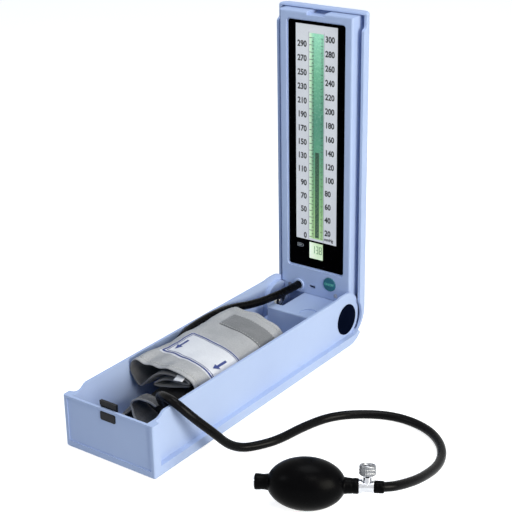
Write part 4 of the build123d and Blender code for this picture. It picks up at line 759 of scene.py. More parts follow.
@dataclass
class CatchSpring:
    """The catch's spring, wound as a helix."""

    turns: float = 3.0
    wire: float = 0.3
    radius: float = 2.1
    travel: float = 1.2
    steps: int = 160
    sides: int = 10

    def build(self) -> None:
        """Wind the wire round the middle of the solid spring, over its length, with its rear end on the bracket."""
        box = np.array([list(corner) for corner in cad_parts["latch_spring"].bound_box]) / MM
        front, rear, middle = box[:, 1].min(), box[:, 1].max(), box[:, 2].mean()
        start, end = front + self.wire, rear - self.wire
        t = np.linspace(0, 1, self.steps)
        turn = 2 * math.pi * self.turns * t
        path = np.stack([self.radius * np.cos(turn), start + (end - start) * t,
                         middle + self.radius * np.sin(turn)], 1)
        wound = piping("latch_coil", path, self.wire, self.sides)
        coil = dress(wound, STEEL, "base", "steel", "latch_spring")
        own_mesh(coil)


@dataclass
class Graphics:
    """Numbers and marks printed on the scale plate, the display segments and the button's words."""

    face_y: float = 12.95
    button_y: float = 10.04
    zero_z: float = 94.9
    step: float = 0.6936
    last: int = 300
    letter_size: float = 6.2
    letter_shape: Pair = (1.12, 1.3)
    letter_weight: float = 0.036
    right_x: float = 10.0
    left_x: float = -11.2
    unit_mark: Words = ("mmHg", 9.6, 102.2, 3.4, "LEFT")
    button_mark: Words = ("ON/OFF", 17.5, 55.9, 2.7, "CENTER")
    ticks: tuple[tuple[int, float, float, float], ...] = (
        (10, 0.26, -8.0, -2.9), (2, 0.17, -5.0, -2.7), (5, 0.22, -5.0, -3.2), (10, 0.24, 4.9, 7.6),
        (2, 0.17, 5.6, 7.4))
    bar_x: Pair = (-1.4, 3.4)
    bar_foot: float = 101.6
    bar_top: float = 190.6
    bar_pitch: float = 1.31
    bar_share: float = 0.9
    digits: str = "138"
    digit_at: Pair = (-4.6, 84.4)
    digit_size: Pair = (3.1, 8.2)
    digit_pitch: float = 4.1
    digit_line: float = 0.75
    edge_lines: tuple[Bar, ...] = ((-8.9, -8.45, 98.5, 308.5), (8.45, 8.9, 98.5, 308.5))
    cell_sign: tuple[Bar, ...] = (
        (-22.5, -15.5, 92.0, 92.5), (-22.5, -15.5, 88.6, 89.1), (-22.5, -22.0, 88.6, 92.5),
        (-16.0, -15.5, 88.6, 92.5), (-15.5, -14.7, 89.8, 91.3), (-21.4, -19.6, 89.7, 91.4),
        (-19.2, -17.4, 89.7, 91.4))

    def height(self, pressure: Array | float) -> Array | float:
        """Height above the floor of a pressure on the scale, in millimetres."""
        return self.zero_z + self.step * np.asarray(pressure, float)

    def words(self, lines: list[Words], name: str, y: float) -> Piece:
        """Flat words facing the front, as one mesh: each text's own points, stretched, then moved to their place.

        Args:
            lines: The texts and their places.
            name: The piece's name.
            y: Distance behind the hinge axis in millimetres.

        Returns:
            The mesh object.
        """
        wide, high = self.letter_shape
        points, faces, count = [], [], 0
        for text, x, z, size, side in lines:
            curve = bpy.data.curves.new(name + "_line", "FONT")
            curve.body, curve.size, curve.align_x, curve.align_y = text, 1.0, side, "CENTER"
            curve.offset, curve.resolution_u = self.letter_weight, 3
            holder = hang(name + "_line", curve)
            mesh = settled(holder)
            mesh.calc_loop_triangles()
            corners = np.zeros(len(mesh.loop_triangles) * 3, np.int32)
            mesh.loop_triangles.foreach_get("vertices", corners)
            own = points_of(mesh)
            depth = np.full(len(own), AXIS_Y + y)
            points.append(np.stack([x + own[:, 0] * size * wide, depth, z + own[:, 1] * size * high], 1))
            faces.append(corners.reshape(-1, 3) + count)
            count += len(own)
            bpy.data.objects.remove(holder)
        return make(name, lift(np.concatenate(points)), np.concatenate(faces), smooth=False)

    def bars(self, rows: list[Bar] | tuple[Bar, ...], name: str, y: float) -> Piece:
        """Flat rectangles facing the front, as one mesh: four corners from each row.

        Args:
            rows: The sides of each.
            name: The piece's name.
            y: Distance behind the hinge axis.

        Returns:
            The mesh object.
        """
        left, right, low, high = np.asarray(rows, float).T
        depth = np.full(len(rows), AXIS_Y + y)
        corners = ((left, low), (right, low), (right, high), (left, high))
        points = np.stack([np.stack([a, depth, b], 1) for a, b in corners], 1)
        return make(name, lift(points.reshape(-1, 3)), np.arange(4 * len(rows)).reshape(-1, 4), smooth=False)

    def segments(self, digit: str, x: float) -> list[Bar]:
        """The lit rectangles of a seven-segment digit, whose edges are those of its box and of its lines.

        Args:
            digit: The figure.
            x: Its left side in millimetres.

        Returns:
            The sides of every lit segment.
        """
        lit = {"1": "bc", "3": "abgcd", "8": "abcdefg"}[digit]
        z, (wide, high), thick = self.digit_at[1], self.digit_size, self.digit_line
        gap, middle = thick * 0.25, z + high / 2
        left, inner, right = (x, x + thick), (x + thick, x + wide - thick), (x + wide - thick, x + wide)
        lower, upper = (z + gap, middle - gap), (middle + gap, z + high - gap)
        places = {"a": (*inner, z + high - thick, z + high), "b": (*right, *upper), "c": (*right, *lower),
                  "d": (*inner, z, z + thick), "e": (*left, *lower), "f": (*left, *upper),
                  "g": (*inner, middle - thick / 2, middle + thick / 2)}
        return [places[key] for key in lit]

    def build(self) -> None:
        """Print the scale, draw the segments and letter the button."""
        face, size = self.face_y, self.letter_size
        numbers = [(str(value), self.right_x, float(self.height(value)), size, "LEFT")
                   for value in range(20, self.last + 1, 20)]
        numbers += [(str(value), self.left_x, float(self.height(value)), size, "RIGHT")
                    for value in range(30, self.last, 20)]
        numbers.append(("0", self.left_x, float(self.height(10)), size, "RIGHT"))
        dress(self.words(numbers, "scale_numbers", face), INK, "lid", "scale_grey")
        dress(self.words([self.unit_mark], "scale_unit", face), INK, "lid", "scale_grey")
        marks = [(left, right, z - half, z + half) for every, half, left, right in self.ticks
                 for z in self.height(np.arange(10, self.last + 1, every))]
        dress(self.bars(marks, "scale_marks", face), INK, "lid", "lcd_green")
        count = int((self.bar_top - self.bar_foot) / self.bar_pitch) + 1
        feet = [self.bar_foot + self.bar_pitch * k for k in range(count)]
        cells = [(*self.bar_x, foot, foot + self.bar_pitch * self.bar_share) for foot in feet]
        dress(self.bars(cells, "column_segments", face + 0.02), SEGMENT, "lid", "lcd_green")
        figures = [row for k, digit in enumerate(self.digits)
                   for row in self.segments(digit, self.digit_at[0] + self.digit_pitch * k)]
        dress(self.bars(figures, "readout_digits", face), DIGIT, "lid", "lcd_green")
        dress(self.bars(self.edge_lines, "column_edge_lines", face), PALE_INK, "lid", "scale_grey")
        dress(self.bars(self.cell_sign, "battery_sign", face), PALE_INK, "lid", "mask_black")
        words = self.words([self.button_mark], "button_words", self.button_y)
        dress(words, TEAL_INK, "power_button", "button_teal")


INNER_FOLDS = ((-13.0, 39.6), (-5.0, 44.4), (4.0, 47.4), (14.0, 49.0), (24.0, 49.2), (29.5, 48.0), (25.0, 46.4),
               (14.0, 45.2), (4.0, 44.0), (-5.0, 41.6), (-12.0, 38.4), (-13.6, 36.2), (-8.0, 35.6), (4.0, 37.8),
               (15.0, 40.4), (26.0, 42.8))
FRONT_SECTION = ((31.5, 36.0), (32.6, 42.0), (32.2, 47.5), (28.5, 52.2), (22.0, 55.6), (13.0, 57.2), (3.0, 57.4),
                 (-8.0, 55.7), (-17.0, 53.6), (-24.5, 53.6), (-30.6, 57.0), (-35.8, 54.2), (-40.2, 50.2),
                 (-42.2, 45.2), (-38.4, 39.2), (-34.6, 32.4), (-30.4, 29.6), (-25.4, 35.0), (-15.0, 45.4),
                 (-7.0, 50.6), (3.0, 51.8), (13.0, 52.2), (23.0, 52.2), (28.0, 50.2), (24.5, 48.4), (14.0, 47.4),
                 (4.0, 46.8), (-5.0, 44.4), (-12.0, 40.4), (-13.4, 37.6), (-8.0, 37.2), (4.0, 39.4), (15.0, 43.0),
                 (26.0, 46.2))
BODY_SECTION = ((38.4, 33.0), (38.9, 40.0), (38.8, 46.4), (35.6, 51.2), (27.5, 54.6), (16.5, 56.4), (5.0, 57.4),
                (-6.0, 58.0), (-15.0, 58.2), (-22.5, 58.2), (-28.6, 57.0), (-31.4, 52.6), (-32.0, 47.0),
                (-32.2, 41.6), (-31.4, 36.6), (-29.4, 33.0), (-26.5, 31.9), (-21.0, 34.2), *INNER_FOLDS)
REAR_SECTION = ((39.0, 34.0), (39.6, 40.0), (39.2, 45.6), (36.0, 49.6), (28.0, 53.6), (17.5, 57.2), (6.5, 59.2),
                (-5.0, 58.4), (-14.0, 57.6), (-21.0, 58.2), (-26.8, 58.6), (-30.6, 54.4), (-31.8, 48.0),
                (-32.0, 42.0), (-31.0, 37.0), (-29.0, 33.4), (-26.0, 32.3), (-21.0, 34.4), *INNER_FOLDS)


def centre_line(y: float) -> Array:
    """Section of the rolled cuff at a station: the front, body and rear sections blended by two smooth steps.

    Args:
        y: Distance from the hinge axis in millimetres, negative towards the front.

    Returns:
        Control points of x and height above the tray's underside, from the near side over the top, round the
        far side and back through the inner folds.
    """
    front, body, rear = np.array(FRONT_SECTION), np.array(BODY_SECTION), np.array(REAR_SECTION)
    first, last = float(ease((y + 225) / 32)), float(ease((y + 128) / 30))
    return front * (1 - first) + body * (first - last) + rear * last


@dataclass
class Roll:
    """The rolled arm cuff with its label and strap: a padded sheet that follows a spiral section along the tray."""

    front: float = -226.0
    rear: float = -95.0
    along: int = 300
    across: int = 132
    thick: float = 3.9
    hem: float = 5.0
    waves: tuple[Wave, ...] = ((0.6, 3, 44.0), (0.3, 8, 17.0))
    calm: Pair = (16.0, 112.0)  # along the section, the ripples are low before the first and after the second
    reach: Pair = (24.0, 16.0)  # how far the front edge and the rear edge disturb the cloth
    pleats: Pair = (0.7, 3.1)  # height at the front edge, and length from crest to crest over two pi
    pleats_on: Pair = (30.0, 105.0)  # where they start and end along the section
    pleats_lean: float = 0.04
    sag: Pair = (1.0, 6.5)  # depth at the rear edge, and length over two pi
    loose: tuple[Wave, Wave] = ((1.3, 5, 30.0), (2.6, 12, 24.0))  # how uneven the front and rear edges are
    skew: float = 8.5  # how far the top layer slants over its width
    skew_x: Pair = (38.0, 70.0)  # where the slant starts, and that width
    skew_end: float = 125.0  # where it ends along the section
    skew_fade: float = 30.0
    near_height: float = 43.3
    label_far_x: float = -21.5
    label_front: float = -208.5
    label_rear: float = -166.5
    label_thick: float = 0.5
    strap_far_x: float = -13.5
    strap_front: float = -137.0
    strap_rear: float = -112.0
    strap_thick: float = 0.95
    middle: Array = field(init=False)
    out: Array = field(init=False)
    span: Array = field(init=False)

    def __post_init__(self) -> None:
        """Work out the middle surface, with the length run at each of its points and the direction outwards.

        A B-spline section stands at every station. It moves along its normal by ripples, by pleats that fade
        behind the front edge and by a sag before the rear edge. Then its points shift along the tray: by a slant
        that grows away from the near side, and by uneven edges.
        """
        station = np.linspace(self.front, self.rear, self.across)
        plane = np.stack([even(spline(centre_line(float(y)), 500), self.along) for y in station], 1)
        tangent = unit(np.gradient(plane, axis=0))
        normal = np.stack([tangent[..., 1], -tangent[..., 0]], -1)
        steps = np.linalg.norm(np.diff(plane, axis=0), axis=2)
        s = np.concatenate([np.zeros((1, self.across)), np.cumsum(steps, 0)])
        y = np.broadcast_to(station, s.shape)
        near_front = np.exp(-((y - self.front) / self.reach[0]) ** 2)
        near_rear = np.exp(-((y - self.rear) / self.reach[1]) ** 2)
        top_only = ease((s - self.pleats_on[0]) / 20) * ease((self.pleats_on[1] - s) / 15)
        pleat_turn = s / self.pleats[1] + self.pleats_lean * (y - self.front)
        pleats = self.pleats[0] * near_front * np.sin(pleat_turn) * top_only
        sag = -self.sag[0] * near_rear * (0.5 + 0.5 * np.sin(s / self.sag[1] + 1.0))
        calm = np.where(s < self.calm[0], 0.3, 1.0) * np.where(s > self.calm[1], 0.55, 1.0)
        plane = plane + normal * (calm * creases(s, y, self.waves) + pleats + sag)[..., None]
        slant = self.skew * (self.skew_x[0] - plane[..., 0]) / self.skew_x[1]
        slant = slant * ease((self.skew_end - s) / self.skew_fade) * ease((y - self.front) / self.skew_fade)
        (front_play, *front_wave), (rear_play, *rear_wave) = self.loose
        edges = (front_play * near_front * ripple(s, y * 0, *front_wave)
                 + rear_play * near_rear * ripple(s, y * 0, *rear_wave))
        self.middle = in_tray(plane, y + slant + edges)
        out = unit(np.cross(np.gradient(self.middle, axis=0), np.gradient(self.middle, axis=1)))
        self.out = out * np.sign((out[..., 0] * normal[..., 0] + out[..., 2] * normal[..., 1]).mean())
        self.span = s

    def at(self, s: Array, y: Array, outside: float | Array) -> Array:
        """Points outside the cuff's middle surface, blended from the four nearest points of its grid.

        Args:
            s: Millimetres along the section from the near end.
            y: Millimetres from the hinge axis.
            outside: How far outside the middle surface, as one number or one for each point.

        Returns:
            The points in millimetres.
        """
        s, y = np.broadcast_arrays(np.asarray(s, float), np.asarray(y, float))
        column = (y - self.front) / (self.rear - self.front) * (self.across - 1)
        row = s / self.span[-1, self.across // 2] * (self.along - 1)
        i = np.clip(row.astype(int), 0, self.along - 2)
        j = np.clip(column.astype(int), 0, self.across - 2)
        a, b = (row - i)[..., None], (column - j)[..., None]
        level = np.isscalar(outside)
        grid = self.middle + self.out * outside if level else self.middle
        found = (grid[i, j] * (1 - a) * (1 - b) + grid[i + 1, j] * a * (1 - b)
                 + grid[i, j + 1] * (1 - a) * b + grid[i + 1, j + 1] * a * b)
        return found if level else found + self.out[i, j] * outside[..., None]

    def length_at_height(self, height: float) -> float:
        """Find where the section's near side rises past a height.

        Args:
            height: Height above the floor in millimetres.

        Returns:
            Millimetres along the section.
        """
        station, rising = self.across // 2, int(self.along * 0.1)
        return float(np.interp(height, self.middle[:rising, station, 2], self.span[:rising, station]))

    def length_at_x(self, x: float) -> float:
        """Find where the section's top layer runs back past an x.

        Args:
            x: The x in millimetres.

        Returns:
            Millimetres along the section.
        """
        station, layer = self.across // 2, int(self.along * 0.34)
        line = self.middle[:layer, station, 0]
        crest = int(np.argmax(line))
        return float(np.interp(-x, -line[crest:], self.span[crest:layer, station]))

    def pillow(self) -> Piece:
        """The cuff itself: the middle surface moved out and in by half its thickness.

        That is thin at the sewn hem and full inside it, drawn in at the seam, and nothing at the border.

        Returns:
            The mesh object.
        """
        s, y = self.span, np.broadcast_to(np.linspace(self.front, self.rear, self.across), self.span.shape)
        hem_share, inner_share, lip_width, seam_depth, seam_width = 0.42, 0.58, 1.1, 0.35, 0.9
        border = border_of(s, y, 0, s[-1:], self.front, self.rear)
        full = hem_share + inner_share * ease((border - self.hem * 0.7) / (self.hem * 1.5))
        lip = np.sqrt(np.clip(border / lip_width, 0.0, 1.0))
        seam = 1 - seam_depth * np.exp(-((border - self.hem) / seam_width) ** 2)
        half = self.out * (self.thick / 2 * full * lip * seam)[..., None]
        # apart=1.0 puts the whole inner side in the cuff's painted shade
        return sheet("arm_cuff", self.middle + half, self.middle - half, np.stack([s, y], -1), apart=1.0)

    def patch(self, name: str, ends: Pair, sides: Pair, base: float, thick: float) -> Piece:
        """A flat piece sewn on the cuff: a grid over the outer side with a rounded edge, its underside on the cloth.

        Args:
            name: The piece's name.
            ends: Where it starts and ends along the section.
            sides: Its front and rear edge from the hinge axis.
            base: How far its underside is outside the middle surface.
            thick: Its thickness.

        Returns:
            The mesh object.
        """
        s, y = np.meshgrid(np.linspace(*ends, 90), np.linspace(*sides, 48), indexing="ij")
        rise = thick * np.sqrt(np.clip(border_of(s, y, *ends, *sides) / (thick * 0.8), 0, 1))
        return sheet(name, self.at(s, y, base + rise), self.at(s, y, base), np.stack([s, y], -1))

    def inked(self, name: str, strips: list[tuple[float, ...]], height: float) -> Piece:
        """Print on the cuff: strips that are straight along the cloth and may narrow.

        Args:
            name: The piece's name.
            strips: Start and end of each as s and y, and its half width at both ends.
            height: How far outside the middle surface.

        Returns:
            The mesh object.
        """
        step, sides = 0.6, np.linspace(-1, 1, 5)
        points, uvs, faces, count = [], [], [], 0
        for s0, y0, s1, y1, half0, half1 in strips:
            length = math.hypot(s1 - s0, y1 - y0)
            t = np.linspace(0, 1, max(2, int(length / step) + 2))[:, None]
            direction = np.array([s1 - s0, y1 - y0]) / length
            half = half0 + (half1 - half0) * t
            s = s0 + (s1 - s0) * t - direction[1] * half * sides
            y = y0 + (y1 - y0) * t + direction[0] * half * sides
            points.append(self.at(s, y, height).reshape(-1, 3))
            uvs.append(np.stack([s, y], -1).reshape(-1, 2) * MM)
            faces.append(grid_faces(len(t), len(sides), start=count))
            count += s.size
        return face_up(make(name, lift(np.concatenate(points)), np.concatenate(faces), np.concatenate(uvs)))

    def stitches(self, name: str, lines: list[tuple[float, float, float, float]], height: float) -> Piece:
        """Rows of thread: at every stitch a short band, pressed into the cloth at both ends, made solid.

        Args:
            name: The piece's name.
            lines: Start and end of each row as s and y.
            height: How far the thread is outside the middle surface.

        Returns:
            The mesh object.
        """
        pitch, half_width = 2.6, 0.2
        rise = np.array([-0.35, 0.12, 0.2, 0.12, -0.35])
        points, faces, count = [], [], 0
        for s0, y0, s1, y1 in lines:
            length = math.hypot(s1 - s0, y1 - y0)
            number = max(2, int(length / pitch))
            start = np.linspace(0, 1 - 0.6 / number, number)
            t = start[:, None] + np.linspace(0, 0.66 / number, len(rise))[None]
            side = np.array([-(y1 - y0), s1 - s0]) / length * half_width
            for sign in (-1, 1):
                s, y = s0 + (s1 - s0) * t + side[0] * sign, y0 + (y1 - y0) * t + side[1] * sign
                points.append(self.at(s, y, height + rise + 0 * s).reshape(-1, 3))
            a = (np.arange(len(rise) - 1)[None] + len(rise) * np.arange(number)[:, None]).ravel() + count
            b = a + t.size
            faces.append(np.stack([a, a + 1, b + 1, b], 1))
            count += 2 * t.size
        made = face_up(make(name, lift(np.concatenate(points)), np.concatenate(faces)))
        solid = made.modifiers.new("thread", "SOLIDIFY")
        solid.thickness, solid.offset = 0.0003, -1
        return made

    def size_tag(self) -> Piece:
        """The small tape at the front: a grid that leans with x, hangs towards the front and waves along x.

        Returns:
            The mesh object.
        """
        rows, columns, near, back = 10, 7, 12.5, -223.5
        x, y = np.meshgrid(np.linspace(near, 21.5, rows), np.linspace(-230, back, columns), indexing="ij")
        height = 54.2 + 0.42 * (y - back) + 0.25 * np.sin(x / 2.5)
        tag = in_tray(np.stack([x, height], -1), y + 0.12 * (x - near))
        uv = np.stack([x, y], -1).reshape(-1, 2) * MM
        made = face_up(make("cuff_size_tag", lift(tag.reshape(-1, 3)), grid_faces(rows, columns), uv))
        made.modifiers.new("tape", "SOLIDIFY").thickness = 0.0004
        return made

    def printed_lines(self, near: float, far: float) -> list[tuple[float, ...]]:
        """Lay out the label's print: two frames, one inside the other, and two arrows.

        Args:
            near: Where the label starts along the section.
            far: Where it ends.

        Returns:
            Start and end of each strip as s and y, and its half width at both ends.
        """
        strips = []
        for inset, half in ((2.2, 0.75), (4.3, 0.28)):
            a, b, c, d = near + inset, far - inset, self.label_front + inset, self.label_rear - inset
            edges = ((a, c, b, c), (a, d, b, d), (a, c, a, d), (b, c, b, d))
            strips += [(*edge, half, half) for edge in edges]
        head, whole, shaft_half, head_half, tip_half = 6.0, 18.0, 1.15, 3.3, 0.05
        for s, tip in ((far - 8.5, -200.0), (self.length_at_x(32.0), -199.5)):
            strips += [(s, tip + head, s, tip + whole, shaft_half, shaft_half),
                       (s, tip, s, tip + head, tip_half, head_half)]
        return strips

    def build(self) -> None:
        """Make the cuff, its label with border and arrows, its strap, their stitching and the size tag."""
        cuff = dress(self.pillow(), CUFF_NYLON, "base", "cuff_cloth", "cuff")
        under_lid(cuff)
        skin, sunk, ink_rise, thread_rise, hem_rise = self.thick / 2, 0.15, 0.12, 0.72, 0.62
        near, far = self.length_at_height(self.near_height), self.length_at_x(self.label_far_x)
        sides = (self.label_front, self.label_rear)
        label = self.patch("cuff_label_satin", (near, far), sides, skin - sunk, self.label_thick)
        under_lid(dress(label, LABEL_SATIN, "base", "label_print", "cuff_label"))
        lines = self.inked("label_lines", self.printed_lines(near, far), skin + self.label_thick + ink_rise)
        under_lid(dress(lines, LABEL_INK, "base", "label_print"))
        end, sides = self.length_at_x(self.strap_far_x), (self.strap_front, self.strap_rear)
        strap = self.patch("cuff_strap_pile", (near, end), sides, skin - sunk, self.strap_thick)
        under_lid(dress(strap, LOOP_PILE, "base", "strap_cloth", "cuff_strap"))
        inset = 1.4
        low, high, last = self.strap_front + inset, self.strap_rear - inset, end - inset
        rows = [(near, low, last, low), (near, high, last, high), (last, low, last, high)]
        threads = self.stitches("strap_stitches", rows, skin + thread_rise)
        under_lid(dress(threads, THREAD, "base", "strap_cloth"))
        hem_start, hem_end = 6.0, float(self.span[-1, 0]) * 0.76 * 0.47
        rows = [(hem_start, y, hem_end, y) for y in (self.front + self.hem, self.rear - self.hem)]
        threads = self.stitches("cuff_stitches", rows, skin * hem_rise)
        under_lid(dress(threads, THREAD, "base", "cuff_cloth"))
        under_lid(dress(self.size_tag(), LABEL_SATIN, "base", "cuff_cloth"))


@dataclass
class Bag:
    """The inner bag under the folds, full in the middle and drawn in at both ends; its near black is partly painted
    shade.
    """

    front: float = -230.0
    rear: float = -98.0
    floor: float = 2.9
    centre: Pair = (3.0, 19.0)
    outline: tuple[Pair, ...] = ((-31, 2.9), (0, 2.6), (35.5, 2.9), (38.3, 18), (36.6, 35.6), (22, 37.0), (8, 36.0),
                                 (-8, 31.5), (-20, 27.4), (-33.2, 15))
    girth: float = 210.0
    slack: float = 0.9  # how far the cloth lies inside the section
    waves: tuple[Wave, ...] = ((0.9, 21, 30.0), (0.4, 22, 12.0))
    wave_share: float = 0.8
    end_shape: Pair = (9.0, 3.2)  # powers of the rounded profile
    sides: int = 120
    along: int = 70

    def build(self) -> None:
        """Make the bag: at every station the section is scaled about its middle by a rounded profile, with creases."""
        loop = spline(np.array(self.outline, float), 400, True)
        ring = even(np.concatenate([loop, loop[:1]]), self.sides + 1)[:-1]
        centre = np.array(self.centre)
        t = np.linspace(0, 1, self.along)
        square, rounded = self.end_shape
        full = np.clip(1 - np.abs(2 * t - 1) ** square, 0, 1) ** (1 / rounded)
        y = self.front + (self.rear - self.front) * t
        plane = centre + (ring[:, None] - centre) * full[None, :, None]
        around = np.linspace(0, self.girth, self.sides)[:, None]
        inward = self.slack + creases(around, y[None], self.waves) * self.wave_share
        inward = inward[..., None] * full[None, :, None]
        points = in_tray(plane - unit(plane - centre, 1e-6) * inward, y)
        points[..., 2] = np.maximum(points[..., 2], self.floor)
        uv = np.stack(np.broadcast_arrays(around, y[None]), -1).reshape(-1, 2) * MM
        faces = grid_faces(self.sides, self.along, round_rows=True)
        made = merged(make("inner_bag_cloth", lift(points.reshape(-1, 3)), faces, uv))
        dress(made, BAG_NYLON_AND_SHADE, "base", "tail_cloth", "inner_bag")
        under_lid(made)


@dataclass
class Tail:
    """The folded end of the cuff that lies in front of the roll."""

    rear: float = -233.0
    front: float = -246.5
    thick: float = 2.0
    length: float = 150.0
    floor: float = 2.85
    waves: tuple[Wave, ...] = ((0.7, 31, 24.0), (0.3, 34, 11.0))
    edge_wave: Wave = (1.0, 33, 32.0)
    edge_step: Point = (8.5, 26.0, 34.0)  # how far it steps forward, from where on, and over which length
    droop: float = 1.4
    binding: float = 0.95
    across: int = 200
    along: int = 34
    line: tuple[Pair, ...] = (
        (6.5, 30.8), (0, 32.2), (-7, 32.7), (-14.5, 32.2), (-20, 29.6), (-21.4, 25.4), (-18.2, 20.6), (-12, 16.2),
        (-4, 12.6), (5, 9.4), (9.5, 6.6), (5, 4.3), (-8, 4.0), (-22, 4.1), (-30.2, 6.4), (-32, 11.5), (-29.0, 16.0),
        (-23.0, 17.2))

    def build(self) -> None:
        """Make the fold, a thick sheet along a looped section, and its pale bound edge.

        The front edge steps forward past the top layer. The sheet moves along its normal by creases, which end
        where it lies on the floor, and its thickness falls to nothing at the border.
        """
        plane = even(spline(np.array(self.line, float), 500), self.across)
        t = np.linspace(0, 1, self.along)[None]
        tangent = unit(np.gradient(plane, axis=0))
        normal = np.stack([tangent[:, 1], -tangent[:, 0]], 1)
        s = np.linspace(0, self.length, self.across)[:, None]
        step, start, over = self.edge_step
        front = self.front - step * ease((s - start) / over) + creases(s, s * 0, (self.edge_wave,))
        y = front + (self.rear - front) * t
        loose = np.clip((plane[:, 1] - 5) / 9, 0, 1)[:, None]
        crease = loose * (creases(s, y, self.waves) - self.droop * t)
        middle = in_tray(plane[:, None] + normal[:, None] * crease[..., None], y)
        border = border_of(s, y, 0, self.length, front, self.rear)
        half = self.thick / 2 * (0.62 + 0.38 * ease((border - 2) / 4)) * np.sqrt(np.clip(border / 0.9, 0, 1))
        side = np.stack([normal[:, 0], np.zeros(self.across), normal[:, 1]], 1)[:, None] * half[..., None]
        outer, inner = middle + side, middle - side
        for points in (outer, inner):
            points[..., 2] = np.maximum(points[..., 2], self.floor)
        made = sheet("cuff_tail_fold", outer, inner, np.stack([s + 0 * y, y], -1))
        dress(made, TAIL_NYLON, "base", "tail_cloth", "cuff_tail")
        under_lid(made)
        edge = piping("cuff_tail_binding", middle[:, 0], self.binding)
        under_lid(dress(edge, PIPING_NYLON, "base", "tail_cloth"))


@dataclass
class Hoses:
    """The two rubber hoses, each one smooth line through the points that the tube in the frame follows."""

    radius: float = 4.0
    lid_points: tuple[Point, ...] = (
        (-19.4, 163.55, 47.6), (-19.4, 142, 47.6), (-27.5, 101, 46.7), (-38, 69, 51.1), (-38, 37, 54.6),
        (-38, 1, 52.8), (-38, -21, 38.8), (-38, -44.85, 38.8))
    bulb_points: tuple[Point, ...] = (
        (13, -79.1, 31.3), (13, -92, 31.3), (19, -106, 50.3), (32, -116, 59.2), (48, -120, 59.4), (58, -115, 49.5),
        (64.5, -107, 38.5), (71.5, -98.5, 27.5), (76.5, -86, 12), (82.5, -73.5, 4.5), (91.5, -60, 4), (99.5, -43, 4),
        (104.5, -12, 4), (115, 18, 4), (141, 40.5, 4), (168.5, 50, 4), (199, 44.5, 4), (222, 25, 4),
        (233.5, -1, 4.1), (237, -37, 11.3), (234.5, -63, 17.5), (229.0, -80.29, 21.6), HOSE_END)

    def line(self, name: str, points: tuple[Point, ...]) -> Piece:
        """Lay a round curve on a NURBS line.

        Args:
            name: The hose's name.
            points: The line's control points in millimetres.

        Returns:
            The curve object.
        """
        curve = bpy.data.curves.new(name, "CURVE")
        curve.dimensions = "3D"
        path = curve.splines.new("NURBS")
        path.points.add(len(points) - 1)
        rows = np.column_stack([lift(points), np.ones(len(points))])
        path.points.foreach_set("co", rows.astype(np.float32).ravel())
        path.order_u, path.use_endpoint_u, path.resolution_u = 3, True, 14
        curve.bevel_depth, curve.bevel_resolution, curve.use_fill_caps = self.radius * MM, 6, True
        return hang(name, curve)

    def followed(self, piece: Piece) -> Array:
        """Read the line that a hose follows off a copy of its curve with no thickness.

        Args:
            piece: The hose's curve.

        Returns:
            The line's points in metres.
        """
        bare = piece.data.copy()
        bare.bevel_depth = 0
        holder = hang("bare_line", bare)
        path = points_of(settled(holder)).astype(float)
        bpy.data.objects.remove(holder)
        return path

    def tube(self, piece: Piece) -> Piece:
        """Turn a hose's curve into a mesh tube.

        Args:
            piece: The hose's curve, which is removed.

        Returns:
            The mesh object.
        """
        mesh = settled(piece)
        made = hang(piece.name + "_tube", mesh)
        mesh.polygons.foreach_set("use_smooth", np.full(len(mesh.polygons), True))
        bpy.data.objects.remove(piece)
        return made

    def build(self) -> None:
        """Lay the hose from the lid to the cuff, and the one from the cuff to the valve."""
        curve = self.line("lid_air_hose", self.lid_points)
        path = self.followed(curve)
        short = self.tube(curve)
        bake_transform(short, "base", "lid", start=(0, 0.100, 0.0476), end=(0, 0.148, 0.0476))
        dress(short, HOSE, "base", "black_rubber", "lid_hose")
        curve = self.line("bulb_air_hose", self.bulb_points)
        path = self.followed(curve)
        long = dress(curve, HOSE, "base", "black_rubber", "bulb_hose")


